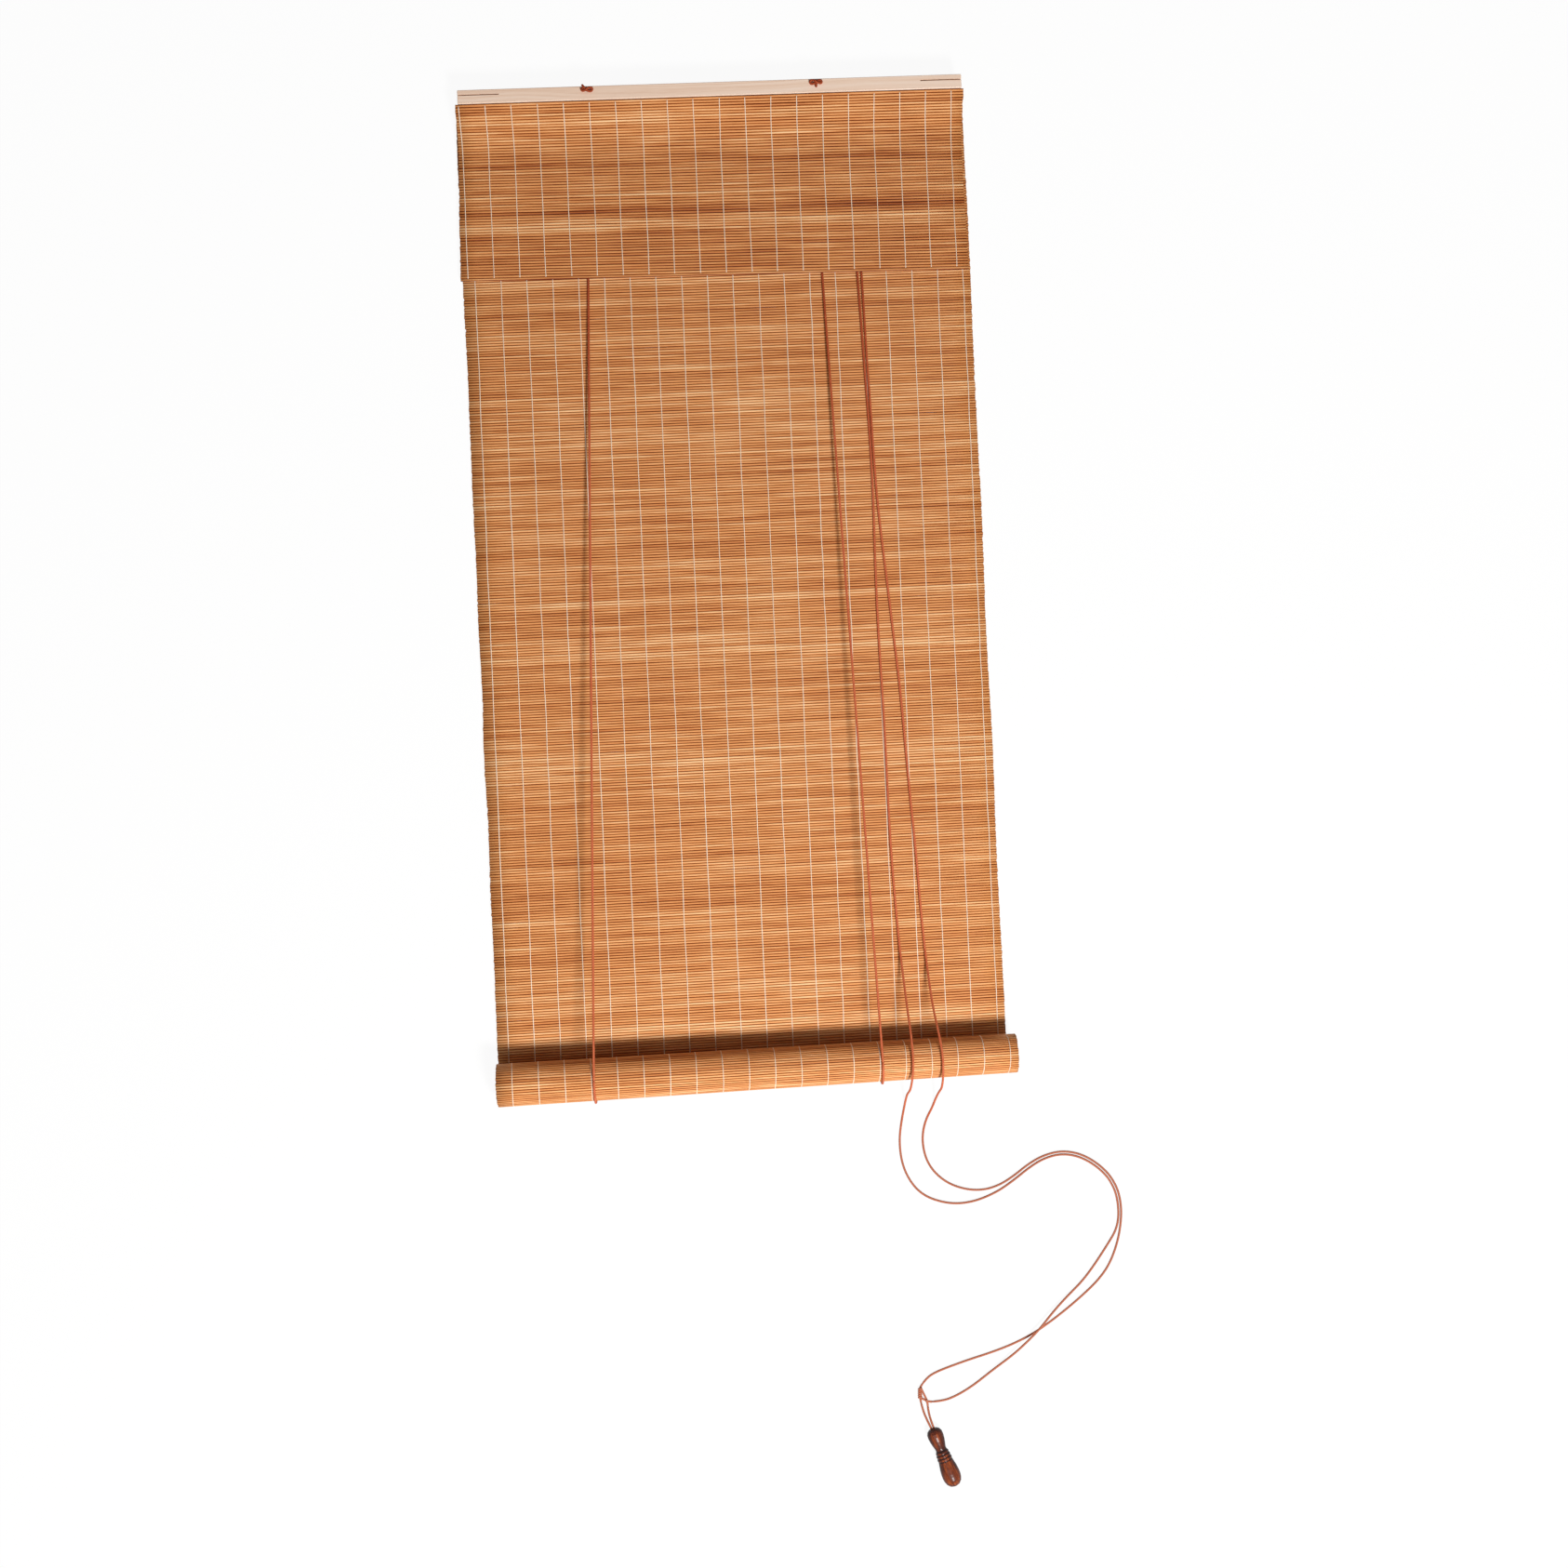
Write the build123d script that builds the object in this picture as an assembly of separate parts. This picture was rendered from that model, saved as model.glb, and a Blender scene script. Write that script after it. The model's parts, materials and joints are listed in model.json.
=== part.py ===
import math
import os

from build123d import *

# Millimetres. The blind lies flat, front up: +X right, +Y to the head, +Z up, origin under its centre.

# head batten
batten_length = 586.0
batten_depth = 16.0
batten_height = 30.0
batten_front_y = 571.75
kerf_width = 1.6
kerf_length = 48.0
kerf_depth = 12.0
kerf_from_rear = 6.0

# slat mat
mat_width = 600.0
slat_pitch = 3.0
slat_thickness = 2.0
slat_web = 0.8
slat_lift = 2.9
mat_under_batten = 7.5
thread_pitch = 30.15
thread_width = 1.0
thread_thickness = 0.25
thread_edge = 15.4
thread_edge_least = 11.0

# roll and bottom rail
roll_axis_y = -558.45
roll_radius = 26.4
roll_layer = 2.65
roll_turns = 6.85
roll_shift_x = 3.5
rail_radius = 6.0
roll_gap = 0.3

# valance
valance_shift_x = -3.5
valance_hem_y = 369.0
valance_slat_pitch = 3.2
valance_thread_edge = 11.5
valance_slope = 30.0
valance_bend_radius = 60.0
valance_flat_z = 9.0
valance_top_z = 33.3
valance_seat_gap = 0.55

# cords
cord_diameter = 2.6
cord_hole_diameter = 4.0
cord_hole_from_front = 11.5
touch_from_hem = 6.0
left_hole_x = -143.0
right_hole_x = 123.0
left_loop_x = -184.3
right_loop_x = 147.5
left_hem_x = -152.7
right_hem_x = 122.1
mat_cord_z = 6.5
leg_bend = 4.5

# pulleys and cord lock
hardware_from_front = 6.5
plate = 1.0
frame_depth = 13.0
frame_low = 8.6
ear_low = 6.0
ear_top = 22.5
web_top = 18.0
screw_z = 14.0
pulley_left = 9.7
pulley_right = 9.0
pulley_ear = 8.0
pulley_top = 22.5
lock_left_x = 152.2
lock_right_x = 181.0
lock_left_ear = 6.4
lock_right_ear = 7.0
lock_top = 23.5
sheave_radius = 7.4
groove_radius = 4.9
cord_on_sheave = 6.3
hub_radius = 2.6
hub_length = 10.6
pin_radius = 1.5
pin_clearance = 0.05
left_sheave_x = -140.7
left_sheave_z = 18.4
right_sheave_x = 127.8
right_sheave_z = 15.7
guide_x = 158.4
guide_z = 16.2
guide_radius = 4.4
cam_x = 172.5
cam_z = 16.0
cam_radius = 4.0
cam_travel = 5.0
rise_bend = 7.0

# tassel
tassel_top = (189.6, -990.95)
tassel_way = (0.331, -0.944)
tassel_hole = 5.6
tassel_hole_depth = 12.0

# sizes that follow from the ones above
cord_radius = cord_diameter / 2
batten_rear_y = batten_front_y + batten_depth
batten_bottom_z = slat_lift + slat_thickness
batten_top_z = batten_bottom_z + batten_height
hole_y = batten_front_y + cord_hole_from_front
mat_end_y = batten_front_y + mat_under_batten
mat_start_y = roll_axis_y + roll_gap
mat_top_z = slat_lift + slat_thickness
roll_axis_z = slat_lift + roll_radius
loop_radius = roll_axis_z - cord_radius
hw_y = batten_front_y - hardware_from_front
left_line_z = left_sheave_z + cord_on_sheave
right_line_z = right_sheave_z + cord_on_sheave
inner_drop_x = guide_x + right_line_z - guide_z
outer_drop_x = guide_x + left_line_z - guide_z
touch_y = valance_hem_y - touch_from_hem
thread_count = int((mat_width - thread_edge - thread_edge_least) / thread_pitch) + 1
thread_x = [thread_edge - mat_width / 2 + thread_pitch * i for i in range(thread_count)]

# left end, right end, left ear and right ear of each frame
left_ends = (left_sheave_x - pulley_left, left_sheave_x + pulley_right, pulley_ear, pulley_ear)
right_ends = (right_sheave_x - pulley_left, right_sheave_x + pulley_right, pulley_ear, pulley_ear)
lock_ends = (lock_left_x, lock_right_x, lock_left_ear, lock_right_ear)

nodes = {}


def box(x0, x1, y0, y1, z0, z1):
    corner = Location(((x0 + x1) / 2, (y0 + y1) / 2, (z0 + z1) / 2))
    return corner * Box(x1 - x0, y1 - y0, z1 - z0)


def rod(x, z, y0, y1, radius):
    """A round bar along Y."""
    plane = Plane(origin=(x, y0, z), x_dir=(1, 0, 0), z_dir=(0, 1, 0))
    return extrude(plane * Circle(radius), amount=y1 - y0)


def turned(x, z, outline):
    """A solid turned about the line along Y through x, z, from pairs of y and radius."""
    plane = Plane(origin=(x, 0, z), x_dir=(0, 1, 0), z_dir=(1, 0, 0))
    face = make_face(plane * Polyline(*outline, close=True))
    return revolve(face, Axis((x, 0, z), (0, 1, 0)))


def slab(outline, x0, x1):
    """An outline in Y and Z, drawn out along X."""
    face = make_face(Polyline(*[(x0, y, z) for y, z in outline], close=True))
    return extrude(face, amount=x1 - x0, dir=(1, 0, 0))


def corner_radii(points):
    """The easy radius and the turn in degrees at each corner."""
    radii = []
    turns = []
    vectors = [Vector(*p) for p in points]
    for i in range(1, len(vectors) - 1):
        before = vectors[i] - vectors[i - 1]
        after = vectors[i + 1] - vectors[i]
        turn = before.get_angle(after)
        shorter = min(before.length, after.length)
        radii.append(0.45 * shorter / math.tan(math.radians(turn / 2)))
        turns.append(turn)
    return radii, turns


def tube(name, points, radii=None):
    """A cord through the points, of straight runs and tangent arcs."""
    own, turns = corner_radii(points)
    if radii:
        own = [given or found for given, found in zip(radii, own)]
    path = FilletPolyline(*points, radius=own) if own else Polyline(*points)
    section = Plane(origin=path @ 0, z_dir=path % 0) * Circle(cord_radius)
    solid = sweep(section, path=path)
    expected = math.pi * cord_radius**2 * path.length
    smallest = min(own) if own else 0
    sharpest = max(turns) if turns else 0
    print(
        f"{name}: length {path.length:.1f}, volume {solid.volume:.0f} of {expected:.0f}, "
        f"smallest radius {smallest:.1f}, sharpest turn {sharpest:.0f}"
    )
    return solid


def make_batten():
    body = box(
        -batten_length / 2,
        batten_length / 2,
        batten_front_y,
        batten_rear_y,
        batten_bottom_z,
        batten_top_z,
    )
    kerf_y = batten_rear_y - kerf_from_rear
    for side in (-1, 1):
        inner = side * (batten_length / 2 - kerf_length)
        outer = side * (batten_length / 2 + 1)
        body -= box(
            min(inner, outer),
            max(inner, outer),
            kerf_y - kerf_width / 2,
            kerf_y + kerf_width / 2,
            batten_top_z - kerf_depth,
            batten_top_z + 1,
        )
    for x in (left_hole_x, right_hole_x):
        hole = Location((x, hole_y, batten_bottom_z + batten_height / 2))
        body -= hole * Cylinder(cord_hole_diameter / 2, batten_height + 2)
    for x, z in screw_places():
        body -= rod(x, z, batten_front_y - 1, batten_front_y + 9, pin_radius + pin_clearance)
    return body


def make_mat():
    count = round((mat_end_y - mat_start_y) / slat_pitch)
    pitch = (mat_end_y - mat_start_y) / count
    middle = slat_lift + slat_thickness / 2
    top = []
    bottom = []
    for i in range(count):
        edge = mat_start_y + pitch * i
        top.append((edge, middle + slat_web / 2))
        top.append((edge + pitch / 2, middle + slat_thickness / 2))
        bottom.append((edge, middle - slat_web / 2))
        bottom.append((edge + pitch / 2, middle - slat_thickness / 2))
    top.append((mat_end_y, middle + slat_web / 2))
    bottom.append((mat_end_y, middle - slat_web / 2))
    print(f"mat: {count} slats")
    return slab(top + bottom[::-1], -mat_width / 2, mat_width / 2)


def make_mat_threads():
    start = roll_axis_y + 12
    end = batten_front_y - roll_gap
    threads = []
    for x in thread_x:
        half = thread_width / 2
        threads.append(box(x - half, x + half, start, end, mat_top_z, mat_top_z + thread_thickness))
    return Compound(children=threads)


def make_roll():
    """The rolled end of the mat, one spiral wall with a ridge for each slat."""
    outer = []
    inner = []
    angle = 0.0
    length = 0.0
    slats = 0
    while angle < 2 * math.pi * roll_turns:
        radius = roll_radius - roll_layer * angle / (2 * math.pi)
        step = slat_pitch / (radius - slat_thickness / 2)
        valley = radius - 0.6
        outer.append(roll_point(angle, valley))
        outer.append(roll_point(angle + step / 2, radius))
        inner.append(roll_point(angle, radius - slat_thickness))
        angle += step
        length += slat_pitch
        slats += 1
    radius = roll_radius - roll_layer * angle / (2 * math.pi)
    outer.append(roll_point(angle, radius - 0.6))
    inner.append(roll_point(angle, radius - slat_thickness))
    print(f"roll: {slats} slats, {length:.0f} mm, inner radius {radius - slat_thickness:.2f}")
    x0 = roll_shift_x - mat_width / 2
    return slab(outer + inner[::-1], x0, x0 + mat_width)


def roll_point(angle, radius):
    """A point on the roll, the angle from its bottom, over the -Y side first."""
    y = roll_axis_y - radius * math.sin(angle)
    z = roll_axis_z - radius * math.cos(angle)
    return (y, z)


def make_rail():
    x0 = roll_shift_x - mat_width / 2
    plane = Plane(origin=(x0, roll_axis_y, roll_axis_z), z_dir=(1, 0, 0))
    return extrude(plane * Circle(rail_radius), amount=mat_width)


def valance_path(count, start, end):
    """Points and upward normals along the valance, from distance start to end."""
    slope = math.radians(valance_slope)
    top_y = batten_front_y - valance_seat_gap
    bend_drop = valance_bend_radius * (1 - math.cos(slope))
    straight = (valance_top_z - valance_flat_z - bend_drop) / math.sin(slope)
    bend = valance_bend_radius * slope
    bend_y = top_y - straight * math.cos(slope)
    flat_y = bend_y - valance_bend_radius * math.sin(slope)
    result = []
    for i in range(count + 1):
        s = start + (end - start) * i / count
        if s < straight:
            y = top_y - s * math.cos(slope)
            z = valance_top_z - s * math.sin(slope)
            tilt = slope
        elif s < straight + bend:
            tilt = slope - (s - straight) / valance_bend_radius
            y = flat_y + valance_bend_radius * math.sin(tilt)
            z = valance_flat_z + valance_bend_radius * (1 - math.cos(tilt))
        else:
            tilt = 0.0
            y = flat_y - (s - straight - bend)
            z = valance_flat_z
        result.append((y, z, -math.sin(tilt), math.cos(tilt)))
    return result


def valance_length():
    slope = math.radians(valance_slope)
    bend_drop = valance_bend_radius * (1 - math.cos(slope))
    straight = (valance_top_z - valance_flat_z - bend_drop) / math.sin(slope)
    across = straight * math.cos(slope) + valance_bend_radius * math.sin(slope)
    flat = batten_front_y - valance_seat_gap - across - valance_hem_y
    return straight + valance_bend_radius * slope + flat


def make_valance():
    count = round(valance_length() / valance_slat_pitch)
    points = valance_path(2 * count, 0, valance_length())
    print(f"valance: {count} slats")
    top = []
    bottom = []
    for i, (y, z, ny, nz) in enumerate(points):
        half = slat_thickness / 2 if i % 2 else slat_web / 2
        top.append((y + ny * half, z + nz * half))
        bottom.append((y - ny * half, z - nz * half))
    x0 = valance_shift_x - mat_width / 2
    return slab(top + bottom[::-1], x0, x0 + mat_width)


def make_valance_threads():
    total = valance_length()
    points = valance_path(1, 2, 30)[:1]
    points += valance_path(8, 32, 66)
    points += valance_path(1, 66, total - 4)[1:]
    low = slat_thickness / 2 + 0.02
    high = low + thread_thickness
    outline = [(y + ny * low, z + nz * low) for y, z, ny, nz in points]
    outline += [(y + ny * high, z + nz * high) for y, z, ny, nz in points[::-1]]
    first = valance_shift_x - mat_width / 2 + valance_thread_edge
    threads = []
    for i in range(thread_count):
        x = first + thread_pitch * i
        threads.append(slab(outline, x - thread_width / 2, x + thread_width / 2))
    return Compound(children=threads)


def screw_places():
    """The middle of each ear."""
    places = []
    for x0, x1, left_ear, right_ear in (left_ends, right_ends, lock_ends):
        places.append((x0 - left_ear / 2, screw_z))
        places.append((x1 + right_ear / 2, screw_z))
    return places


def make_frame(ends, top, web_x, pin):
    """Two plates and a web folded from one strip, the rear plate with screw ears."""
    x0, x1, left_ear, right_ear = ends
    back = batten_front_y
    front = batten_front_y - frame_depth
    body = box(x0 - left_ear, x1 + right_ear, back - plate, back, ear_low, ear_top)
    body += box(x0, x1, front, front + plate, frame_low, top)
    body += box(web_x, web_x + plate, front, back, frame_low, web_top)
    for x, z in screw_places():
        if x0 - left_ear < x < x1 + right_ear:
            body -= rod(x, z, back - 2, back + 1, pin_radius + 0.1)
    return body - rod(pin[0], pin[1], front - 1, back + 1, pin_radius + pin_clearance)


def make_lock_frame():
    body = make_frame(lock_ends, lock_top, lock_right_x - plate, (guide_x, guide_z))
    front = batten_front_y - frame_depth - 1
    half = pin_radius + pin_clearance
    slot_plane = Plane(
        origin=(cam_x, front, cam_z),
        x_dir=(0.5, 0, math.sqrt(0.75)),
        z_dir=(0, 1, 0),
    )
    bar = slot_plane * (Pos(cam_travel / 2, 0) * Rectangle(cam_travel, 2 * half))
    end = cam_place(cam_travel)
    slot = extrude(bar, amount=frame_depth + 2)
    slot += rod(cam_x, cam_z, front, batten_front_y + 1, half)
    slot += rod(end[0], end[1], front, batten_front_y + 1, half)
    return body - slot


def cam_place(travel):
    return (cam_x + 0.5 * travel, cam_z + math.sqrt(0.75) * travel)


def make_sheave(x, z):
    half = hub_length / 2
    outline = [
        (hw_y - half, pin_radius + pin_clearance),
        (hw_y - half, hub_radius),
        (hw_y - 2.5, hub_radius),
        (hw_y - 2.5, sheave_radius),
        (hw_y - 2.0, sheave_radius),
        (hw_y - 1.0, groove_radius),
        (hw_y + 1.0, groove_radius),
        (hw_y + 2.0, sheave_radius),
        (hw_y + 2.5, sheave_radius),
        (hw_y + 2.5, hub_radius),
        (hw_y + half, hub_radius),
        (hw_y + half, pin_radius + pin_clearance),
    ]
    return turned(x, z, outline)


def make_guide_roller():
    half = hub_length / 2
    bore = pin_radius + pin_clearance
    outline = [
        (hw_y - half, bore),
        (hw_y - half, guide_radius),
        (hw_y + half, guide_radius),
        (hw_y + half, bore),
    ]
    return turned(guide_x, guide_z, outline)


def make_cam():
    """The toothed roller that nips the cords."""
    half = hub_length / 2
    teeth = 12
    outline = []
    for i in range(2 * teeth):
        radius = cam_radius if i % 2 else cam_radius - 0.7
        angle = math.pi * i / teeth
        outline.append((radius * math.cos(angle), radius * math.sin(angle)))
    plane = Plane(origin=(cam_x, hw_y - half, cam_z), x_dir=(1, 0, 0), z_dir=(0, 1, 0))
    body = extrude(plane * make_face(Polyline(*outline, close=True)), amount=hub_length)
    return body - rod(cam_x, cam_z, hw_y - half - 1, hw_y + half + 1, pin_radius + pin_clearance)


def make_pin(x, z):
    front = batten_front_y - frame_depth
    shank = rod(x, z, front - 0.8, batten_front_y - 0.1, pin_radius)
    return shank + rod(x, z, front - 0.8, front, pin_radius + 0.8)


def make_screws():
    face = batten_front_y - plate
    screws = []
    for x, z in screw_places():
        shank = rod(x, z, face - 0.5, batten_front_y + 8, pin_radius)
        head = turned(
            x,
            z,
            [(face, 0), (face, 2.75), (face - 0.8, 2.5), (face - 1.5, 1.4), (face - 1.8, 0)],
        )
        slot = box(x - 3, x + 3, face - 2, face - 1.2, z - 0.35, z + 0.35)
        screws.append(shank + head - slot)
    return Compound(children=screws)


def ring(centre, tilt_x, tilt_z, major):
    place = Location(centre) * Rotation(tilt_x, 0, tilt_z)
    return place * Torus(major, cord_radius)


def make_knot(name, x, lobes, tip):
    """The stop knot on the batten, with the leg through it and the bend under it."""
    start = (x, hole_y, batten_top_z + 1.5)
    points = [start, (x, hole_y, cord_radius), (x, hole_y - leg_bend - 0.6, cord_radius)]
    body = tube(name, points, [leg_bend])
    seat = batten_top_z + cord_radius
    for dx, dy, dz, tilt_x, tilt_z, major in lobes:
        body += ring((x + dx, hole_y + dy, seat + dz), tilt_x, tilt_z, major)
    core = Location((x, hole_y, seat + 0.9))
    body += core * Sphere(2.2)
    end = Vector(*tip)
    from_core = Vector(x, hole_y, seat + 0.9)
    way = end - from_core
    stub = Plane(origin=from_core, z_dir=way) * Circle(cord_radius)
    body += extrude(stub, amount=way.length)
    return body


def loop_end(x, gap):
    """Where the taut cord leaves the roll for the hem, and gap further along it."""
    across = touch_y - roll_axis_y
    drop = roll_axis_z - mat_cord_z
    angle = math.acos(loop_radius / math.hypot(across, drop)) - math.atan2(drop, across)
    y = roll_axis_y + loop_radius * math.cos(angle) + gap * math.sin(angle)
    z = roll_axis_z + loop_radius * math.sin(angle) - gap * math.cos(angle)
    return (x, y, z)


def make_loop(name, x):
    """The lift cord round the roll, from under it over its far side to the top."""
    start = (x, roll_axis_y, roll_axis_z - loop_radius)
    side = (x, roll_axis_y - loop_radius, roll_axis_z)
    path = ThreePointArc(start, side, loop_end(x, 0))
    section = Plane(origin=start, z_dir=(0, -1, 0)) * Circle(cord_radius)
    solid = sweep(section, path=path)
    print(f"{name}: length {path.length:.1f}, volume {solid.volume:.0f}")
    return solid


def make_back_cord(name, hole_x, loop_x):
    near = hole_y - leg_bend - 0.6
    points = [
        (hole_x, near, cord_radius),
        (hole_x, near - 14, cord_radius),
        (loop_x, roll_axis_y + 16, cord_radius),
        (loop_x, roll_axis_y + roll_gap, cord_radius),
    ]
    return tube(name, points)


def make_front_cord(name, loop_x, hem_x, sheave_x, line_z, drop_x):
    """From the roll, under the valance, over the pulley to the lock and out of it."""
    rise_x = sheave_x - cord_on_sheave
    points = [
        loop_end(loop_x, roll_gap),
        (hem_x, touch_y, mat_cord_z),
        (rise_x, hw_y - 40, mat_cord_z),
        (rise_x, hw_y, mat_cord_z),
        (rise_x, hw_y, line_z),
        (drop_x, hw_y, line_z),
        (drop_x, hw_y, mat_cord_z),
        (drop_x, hw_y - rise_bend - 0.3, mat_cord_z),
    ]
    over_guide = line_z - guide_z
    radii = [None, None, rise_bend, cord_on_sheave, over_guide, rise_bend]
    own, _ = corner_radii(points)
    own = [given or min(found, 400) for given, found in zip(radii, own)]
    return tube(name, points, own)


# The free cords' routes, by hand, from the lock over the roll and along the surface to the knot.
route_a = [
    (inner_drop_x, hw_y - 7.3, 6.5),
    (inner_drop_x, 523, 6.5),
    (163.2, 470, 6.5),
    (162.6, 418, 6.5),
    (163.2, 367, 6.5),
    (165.2, 312, 6.5),
    (166.7, 258, 6.5),
    (168.5, 204, 6.5),
    (169.9, 150, 6.5),
    (170.0, 94, 6.5),
    (169.1, 38, 6.5),
    (168.7, -18, 6.5),
    (169.1, -74, 6.5),
    (170.3, -130, 6.5),
    (171.2, -186, 6.5),
    (171.1, -242, 6.5),
    (171.6, -298, 6.5),
    (172.8, -343, 6.5),
    (174.4, -381, 6.5),
    (175.8, -409, 6.5),
    (177.0, -433, 8),
    (178.5, -462, 20),
    (179.8, -492, 35.5),
    (181.4, -522, 51),
    (182.3, -545, 59.3),
    (180.9, -571, 59.3),
    (178.6, -592, 44),
    (177.6, -598.5, 19),
    (175.6, -609, 1.3),
    (169.7, -633.6, 1.3),
    (166.5, -654, 1.3),
    (167.7, -677, 1.3),
    (173.4, -696, 1.3),
    (184.6, -713.5, 1.3),
    (200.5, -724.8, 1.3),
    (225.4, -732, 1.3),
    (250.7, -730.6, 1.3),
    (277.5, -721.2, 1.3),
    (298.2, -708.4, 1.3),
    (317.2, -694.4, 1.3),
    (335.8, -683.8, 1.3),
    (358.8, -679.2, 1.3),
    (383.0, -685.8, 1.3),
    (406.0, -703.6, 1.3),
    (417.3, -722.3, 1.3),
    (421.0, -740.6, 1.3),
    (420.8, -759, 1.3),
    (416.4, -773.6, 1.3),
    (407.4, -787, 1.3),
    (391.3, -809.5, 1.3),
    (375.0, -829.6, 1.3),
    (354.6, -847.6, 2.2),
    (337.2, -863.8, 5.2),
    (320.5, -882.4, 7.1),
    (304.6, -896.8, 7.1),
    (288.4, -911.0, 4.6),
    (264.0, -928.0, 1.7),
    (239.5, -945.6, 1.3),
    (219.4, -956.2, 1.3),
    (203.8, -961.2, 1.3),
    (190.5, -961.4, 1.3),
]
route_b = [
    (outer_drop_x, hw_y - 7.3, 6.5),
    (outer_drop_x, 523, 6.5),
    (167.3, 470, 6.5),
    (167.5, 418, 6.5),
    (168.2, 367, 6.5),
    (169.3, 312, 6.5),
    (170.1, 258, 6.5),
    (171.8, 204, 6.5),
    (172.9, 150, 6.5),
    (174.6, 98, 6.5),
    (178.3, 45, 6.5),
    (182.6, -8, 6.5),
    (186.4, -60, 6.5),
    (190.6, -113, 6.5),
    (193.2, -162, 6.5),
    (195.3, -212, 6.5),
    (198.1, -266, 6.5),
    (201.3, -321, 6.5),
    (203.1, -372, 6.5),
    (205.5, -420, 6.5),
    (207.3, -445, 8.5),
    (208.7, -472, 21),
    (210.2, -498, 36),
    (213.6, -524, 51.5),
    (216.4, -547, 59.3),
    (216.6, -571, 59.3),
    (216.3, -591, 44),
    (215.7, -597.5, 20),
    (213.0, -606.5, 3.6),
    (206.6, -618.4, 1.3),
    (199.6, -630, 1.3),
    (194.8, -644.4, 1.3),
    (193.6, -660, 1.3),
    (197.1, -678.6, 1.3),
    (206.3, -694.4, 1.3),
    (222.1, -708.0, 1.3),
    (243.7, -716.2, 1.3),
    (264.5, -717.4, 1.3),
    (283.3, -712.0, 1.3),
    (300.0, -702.2, 1.3),
    (316.0, -690.4, 1.3),
    (334.8, -680.4, 1.3),
    (358.9, -675.8, 1.3),
    (384.6, -682.6, 1.3),
    (408.4, -701.2, 1.3),
    (420.3, -720.8, 1.3),
    (424.4, -740.2, 1.3),
    (424.0, -760, 1.3),
    (418.6, -786, 1.3),
    (407.6, -812, 1.3),
    (393.4, -829.8, 1.3),
    (375.0, -845.8, 1.3),
    (355.0, -861.2, 1.3),
    (335.1, -875.2, 1.3),
    (314.0, -888.2, 1.3),
    (290.0, -899.0, 1.3),
    (264.4, -907.4, 1.3),
    (238.9, -914.0, 1.3),
    (216.6, -920.6, 1.3),
    (197.4, -926.8, 1.3),
    (186.2, -933.0, 1.3),
    (180.3, -940.4, 1.3),
]
knot_top = (177.4, -944.4, 2.2)
knot_foot = (176.9, -955.4, 2.2)
knot_side = (185.0, -960.0, 2.2)
left_leg_start = (177.9, -961.5, 1.3)
right_leg_start = (185.6, -965.6, 1.3)


def bar(start, end, radius):
    way = Vector(*end) - Vector(*start)
    return extrude(Plane(origin=start, z_dir=way) * Circle(radius), amount=way.length)


def lump(start, end, radius):
    """A knot's body, tapered past both ends."""
    way = Vector(*end) - Vector(*start)
    reach = way.length
    outline = [
        (0, 0, -2.0),
        (1.2, 0, -1.7),
        (radius, 0, 0.3),
        (radius, 0, reach - 0.3),
        (1.2, 0, reach + 1.7),
        (0, 0, reach + 2.0),
    ]
    body = revolve(make_face(Polyline(*outline, close=True)), Axis.Z)
    return Plane(origin=start, z_dir=way) * body


def make_pull_knot():
    """The hitch where the two strands become the tassel's loop."""
    side_low = (knot_side[0], knot_side[1], 1.9)
    side_high = (knot_side[0], knot_side[1], 2.9)
    body = lump(knot_top, knot_foot, 2.15)
    x, y, _ = knot_side
    body += lump(side_low, side_high, 2.4) & box(x - 5, x + 5, y - 6, y + 6, 0, 4.6)
    body += bar(knot_top, knot_side, cord_radius)
    body += bar(knot_side, knot_foot, cord_radius)
    body += bar(knot_side, route_a[-1], cord_radius)
    body += bar(knot_top, route_b[-1], cord_radius)
    body += bar(knot_foot, left_leg_start, cord_radius)
    body += bar(knot_side, right_leg_start, cord_radius)
    return body


# distance from the tassel's top, radius
tassel_outline = [
    (0.0, 5.0),
    (2.0, 7.6),
    (5.0, 9.1),
    (9.0, 9.35),
    (14.0, 8.8),
    (19.0, 7.7),
    (23.0, 6.6),
    (25.5, 6.3),
    (27.3, 7.0),
    (28.8, 7.9),
    (30.4, 7.5),
    (32.4, 8.6),
    (34.2, 8.0),
    (36.4, 8.9),
    (38.4, 8.3),
    (42.0, 9.0),
    (48.0, 10.2),
    (54.0, 10.85),
    (58.0, 10.9),
    (62.0, 10.4),
    (66.0, 8.9),
    (69.0, 6.2),
    (70.5, 2.6),
]


def tassel_place():
    """The tassel's frame: it lies on both bulbs, so its top is a little lower."""
    lean = math.asin((10.9 - 9.35) / (57.0 - 8.5))
    height = 9.35 / math.cos(lean) - 8.5 * math.sin(lean) + 0.03
    flat = math.cos(lean)
    way = Vector(tassel_way[0] * flat, tassel_way[1] * flat, math.sin(lean))
    across = Vector(-tassel_way[1], tassel_way[0], 0)
    top = Vector(tassel_top[0], tassel_top[1], height)
    return Plane(origin=top, x_dir=across, z_dir=way)


def make_tassel():
    place = tassel_place()
    points = [(r, s) for s, r in tassel_outline]
    outline = [(0.0, 0.0)] + points + [(0.0, 71.0)]
    curve = Polyline(*[(r, 0, s) for r, s in outline], close=True)
    body = revolve(make_face(curve), Axis.Z)
    hole = Pos(0, 0, tassel_hole_depth / 2 - 1) * Cylinder(tassel_hole / 2, tassel_hole_depth + 2)
    return place * (body - hole)


def tassel_point(across, along):
    place = tassel_place()
    point = place.origin + place.x_dir * across + place.z_dir * along
    return (point.X, point.Y, point.Z)


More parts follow.
